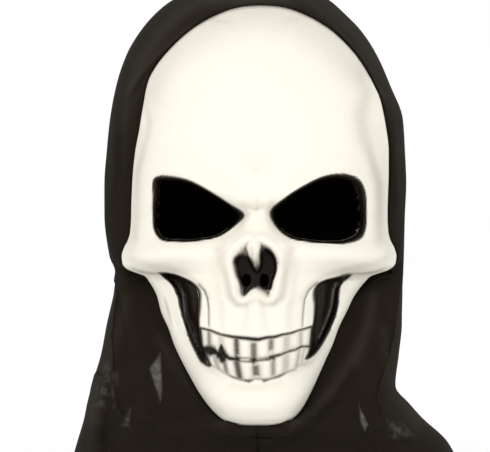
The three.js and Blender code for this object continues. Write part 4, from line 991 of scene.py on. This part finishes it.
normals = cloth_normals(cloth)
if (normals[-1, :, :2] * cloth[-1, :, :2]).sum() < 0:
    normals = -normals
rise = np.zeros(cloth.shape[:2])
for x0, z0, x1, z1, by, reach in zip(*FOLDS.values()):
    z0, z1 = z0 + SIGHT_Z, z1 + SIGHT_Z
    t = np.clip(((cloth[..., 0] - x0) * (x1 - x0) + (cloth[..., 2] - z0) * (z1 - z0))
                / ((x1 - x0) ** 2 + (z1 - z0) ** 2), 0, 1)
    away = np.hypot(cloth[..., 0] - x0 - t * (x1 - x0), cloth[..., 2] - z0 - t * (z1 - z0)) / reach
    here = by * bell(away)
    rise = np.where(np.abs(here) > np.abs(rise), here, rise)
# They fade out round the sides, and towards the rim, where the cloth is held.
rise *= ease(-0.2 * HOOD_DEPTH, 0.1 * HOOD_DEPTH, -cloth[..., 1])
rise *= ease(flat_rows - 1, flat_rows + 10, np.arange(len(rows)))[:, None]
cloth = cloth + normals * rise[..., None]

# Where the cloth is lit or in shade along its folds: rows of (across, up, half breadth, strength), seen
# from the front.
TONED = [
    [(-29.7, 131.3, 5.66, 0.5), (-45, 122.3, 5.09, 0.7), (-58.6, 108.1, 5.09, 0.7),
     (-68.2, 94, 4.53, 0.65), (-75.6, 77, 3.96, 0.55), (-80.1, 57.2, 3.4, 0.3)],
    [(-23.5, 129.6, 5.09, 0.6), (-9.9, 130.7, 5.66, 0.9), (2.5, 131.3, 5.66, 0.95),
     (16.1, 130.2, 5.09, 0.7)],
    [(28.6, 130.2, 5.09, 0.4), (43.3, 122.3, 4.53, 0.5), (55.8, 108.1, 3.96, 0.5),
     (65.9, 92.8, 3.4, 0.5), (73.3, 75.8, 2.83, 0.35)],
    [(65.9, -39.6, 2.83, 0.5), (62, -57.7, 3.4, 0.7), (54.1, -75.8, 3.96, 0.7),
     (42.7, -91.7, 3.96, 0.7), (30.8, -103, 3.4, 0.6), (18.4, -110.9, 2.83, 0.45)],
    [(-56.3, -64.5, 3.4, 0.35), (-45, -82.6, 3.4, 0.5), (-32.5, -96.8, 3.4, 0.5),
     (-19, -109.8, 2.83, 0.4)],
    [(-75.6, -41.9, 2.83, 0.3), (-82.4, -64.5, 3.4, 0.4), (-89.1, -87.2, 4.53, 0.4),
     (-93.7, -109.8, 5.09, 0.45)],
    [(71.6, -58.9, 2.83, 0.3), (72.7, -78.7, 3.4, 0.3), (78.4, -96.2, 4.53, 0.4),
     (90.8, -112.1, 5.66, 0.45)],
    [(-74.4, 75.3, 1.36, -0.6), (-67.3, 84.9, 1.36, -0.7), (-58.8, 93.6, 1.36, -0.7),
     (-48.4, 102.9, 1.36, -0.6), (-37.9, 111.3, 1.36, -0.5), (-24.6, 120.3, 1.36, -0.3)],
    [(-75.8, 77.8, 1.7, 0.5), (-69.1, 87.2, 1.7, 0.55), (-60.6, 95.8, 1.7, 0.55),
     (-50.1, 105.3, 1.7, 0.5), (-39.3, 113.8, 1.7, 0.4)],
    [(53.5, -82.6, 2.83, -0.5), (44.4, -97.4, 2.83, -0.5), (32, -109.8, 2.83, -0.45),
     (18.4, -117.7, 2.83, -0.4)],
]
in_front = ease(-0.15 * HOOD_DEPTH, 0.15 * HOOD_DEPTH, -cloth[..., 1])
sight_z = cloth[..., 2] - SIGHT_Z
tone = sum(stroke(line, cloth[..., 0], sight_z) for line in TONED) * in_front

ring_size = cloth.shape[1]
hood_mesh, column, ring = grid_mesh("cloth_hood", ring_size, len(rows) - 1)
hood_mesh.vertices.foreach_set("co", (cloth[ring, column % ring_size] * MM).ravel())
note_values(hood_mesh, "tone", tone[ring, column % ring_size])
between_rows = np.linalg.norm(np.diff(cloth, axis=0), axis=2).mean(axis=1)
down_lengths = np.concatenate(([0], np.cumsum(between_rows)))
girth = np.linalg.norm(np.roll(cloth, -1, axis=1) - cloth, axis=2).sum(axis=1).mean()
hood_uv = hood_mesh.uv_layers.new(name="cloth")
corners = np.empty(len(hood_mesh.loops), int)
hood_mesh.loops.foreach_get("vertex_index", corners)
flat_uv = np.stack((column[corners] / ring_size * girth, down_lengths[ring[corners]]), axis=-1) * MM
hood_uv.data.foreach_set("uv", flat_uv.ravel())
bm = bmesh.new()
bm.from_mesh(hood_mesh)
bmesh.ops.remove_doubles(bm, verts=bm.verts, dist=0.00001)
bmesh.ops.recalc_face_normals(bm, faces=bm.faces)
if sum(face.normal.xy.dot(face.calc_center_median().xy) for face in bm.faces) < 0:
    bmesh.ops.reverse_faces(bm, faces=bm.faces)
for face in bm.faces:
    face.smooth = True
bm.to_mesh(hood_mesh)
bm.free()

cloth_hood = bpy.data.objects.new("cloth_hood", hood_mesh)
bpy.context.scene.collection.objects.link(cloth_hood)
thickness = cloth_hood.modifiers.new("thickness", "SOLIDIFY")
thickness.thickness = CLOTH_WALL * MM
thickness.offset = -1.0

# The knit, its front seam and its turned hem are drawn along the cloth's own lengths.
KNIT_PITCH = 0.0012
HEM_DEPTH = 0.014
HEM_STITCH = 0.0015            # the hem's line of stitches, below its top edge
SEAM_HALF = 0.0007             # half breadth of the seam and of that line

knit = bpy.data.materials.new("black_knit")
knit.use_nodes = True
nodes, links = knit.node_tree.nodes, knit.node_tree.links
surface = nodes["Principled BSDF"]


def reckon(operation, *values):
    """One step of arithmetic in the knit's nodes."""
    node = nodes.new("ShaderNodeMath")
    node.operation = operation
    for socket, value in zip(node.inputs, values):
        if hasattr(value, "node"):
            links.new(value, socket)
        else:
            socket.default_value = value
    return node.outputs[0]


toned = nodes.new("ShaderNodeAttribute")
toned.attribute_name = "tone"
drawn_tone = toned.outputs["Fac"]
lengths = nodes.new("ShaderNodeUVMap")
lengths.uv_map = "cloth"
split = nodes.new("ShaderNodeSeparateXYZ")
links.new(lengths.outputs["UV"], split.inputs["Vector"])
along_ring, down_cloth = split.outputs["X"], split.outputs["Y"]
stitches = reckon("MULTIPLY", reckon("SINE", reckon("MULTIPLY", along_ring, 2 * math.pi / KNIT_PITCH)),
                  reckon("SINE", reckon("MULTIPLY", down_cloth, 2 * math.pi / (0.8 * KNIT_PITCH))))
from_seam = reckon("ABSOLUTE", reckon("SUBTRACT", along_ring, girth / 2 * MM))
seam = reckon("SUBTRACT", 1.0, reckon("MINIMUM", reckon("DIVIDE", from_seam, SEAM_HALF), 1.0))
hem_start = down_lengths[-1] * MM - HEM_DEPTH
in_hem = reckon("GREATER_THAN", down_cloth, hem_start)
from_stitch = reckon("ABSOLUTE", reckon("SUBTRACT", down_cloth, hem_start + HEM_STITCH))
hem_line = reckon("SUBTRACT", 1.0, reckon("MINIMUM", reckon("DIVIDE", from_stitch, SEAM_HALF), 1.0))
knit_height = reckon("SUBTRACT", reckon("ADD", reckon("MULTIPLY", stitches, 0.25), in_hem),
                     reckon("MAXIMUM", reckon("MULTIPLY", seam, 2.0), hem_line))

# Where one stretched layer lets light through: patches with straight sides, their corners (across, up)
# in mm from the sight line, how soft their edge is, how light they are and how blotched.
SHEER = [
    ([(-55.9, -72.7), (-61.5, -81.2), (-55.4, -98.4), (-54.4, -92.8)], 1.5, 0.62, 0.4),
    ([(57.4, -102.6), (57.8, -109.5), (60.0, -114.5), (61.8, -111.5)], 1.2, 0.60, 0.4),
    ([(-72.4, -103.6), (-77.5, -113.5), (-72.7, -113.2)], 1.6, 0.30, 0.6),
    ([(73.9, -110.4), (80.7, -112.1), (88.0, -119.5), (73.9, -119.4)], 3.5, 0.24, 0.8),
    ([(-88.0, -79.0), (-80.0, -80.0), (-83.0, -103.0), (-95.0, -103.0)], 5.0, 0.16, 1.0),
]
place = nodes.new("ShaderNodeTexCoord")
speckle = reckon("MULTIPLY_ADD", noise(nodes, links, 1100.0, 1.0), 1.6, 0.2)
uneven = reckon("MULTIPLY_ADD", noise(nodes, links, 240.0, 2.0), 7.0, -3.2)
blotches = reckon("MINIMUM", reckon("MAXIMUM", uneven, 0.0), 1.0)
thin = 0.0
for corners, soft, lightness, blotched in SHEER:
    inside = 1.0
    for (x0, z0), (x1, z1) in zip(corners, corners[1:] + corners[:1]):
        way = Vector((z1 - z0, 0.0, x0 - x1)).normalized()
        middle = sum((Vector((x, 0.0, z)) for x, z in corners), Vector()) / len(corners)
        corner = Vector((x0, 0.0, z0))
        if way.dot(middle - corner) < 0:
            way = -way
        across = nodes.new("ShaderNodeVectorMath")
        across.operation = "DOT_PRODUCT"
        across.inputs[1].default_value = way / (soft * MM)
        links.new(place.outputs["Object"], across.inputs[0])
        start = way.dot(corner + Vector((0.0, 0.0, SIGHT_Z))) / soft
        inside = reckon("MINIMUM", inside, reckon("SUBTRACT", across.outputs["Value"], start - 0.5))
    spots = reckon("SUBTRACT", 1.0, reckon("MULTIPLY", reckon("SUBTRACT", 1.0, blotches), blotched))
    lightened = reckon("MULTIPLY", reckon("MAXIMUM", inside, 0.0), reckon("MULTIPLY", spots, lightness))
    thin = reckon("MAXIMUM", thin, lightened)
where = nodes.new("ShaderNodeSeparateXYZ")
links.new(place.outputs["Object"], where.inputs["Vector"])
on_the_front = reckon("LESS_THAN", where.outputs["Y"], 0.0)
thin = reckon("MULTIPLY", reckon("MULTIPLY", thin, speckle), on_the_front)
faded = noise(nodes, links, 55.0, 4.0)
worn = blend(nodes, links, faded, (0.0105, 0.0078, 0.0050, 1.0), (0.0165, 0.0124, 0.0082, 1.0))
# Painted light and shade along the folds: lighter where the tone is above 0, darker where it is below; the
# seam is darker too.
lit = reckon("MAXIMUM", drawn_tone, 0.0)
unlit = reckon("MINIMUM", reckon("ABSOLUTE", reckon("MINIMUM", drawn_tone, 0.0)), 1.0)
painted_lit_folds = blend(nodes, links, lit, worn, (0.031, 0.0255, 0.0195, 1.0))
painted_shade_and_seam = blend(nodes, links, reckon("MAXIMUM", unlit, seam), painted_lit_folds, (0.0062, 0.0044, 0.0028, 1.0))
links.new(blend(nodes, links, thin, painted_shade_and_seam, (0.16, 0.152, 0.145, 1.0)), surface.inputs["Base Color"])
matt = blend(nodes, links, noise(nodes, links, 300.0, 2.0), 0.88, 0.98, "FLOAT")
links.new(matt, surface.inputs["Roughness"])
surface.inputs["Specular IOR Level"].default_value = 0.05
surface.inputs["Sheen Weight"].default_value = 0.015
surface.inputs["Sheen Roughness"].default_value = 0.4
relief = nodes.new("ShaderNodeBump")
relief.inputs["Strength"].default_value = 0.35
relief.inputs["Distance"].default_value = 0.0003
links.new(knit_height, relief.inputs["Height"])
links.new(relief.outputs["Normal"], surface.inputs["Normal"])
cloth_hood.data.materials.append(knit)
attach(cloth_hood, "root")
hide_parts("hood")
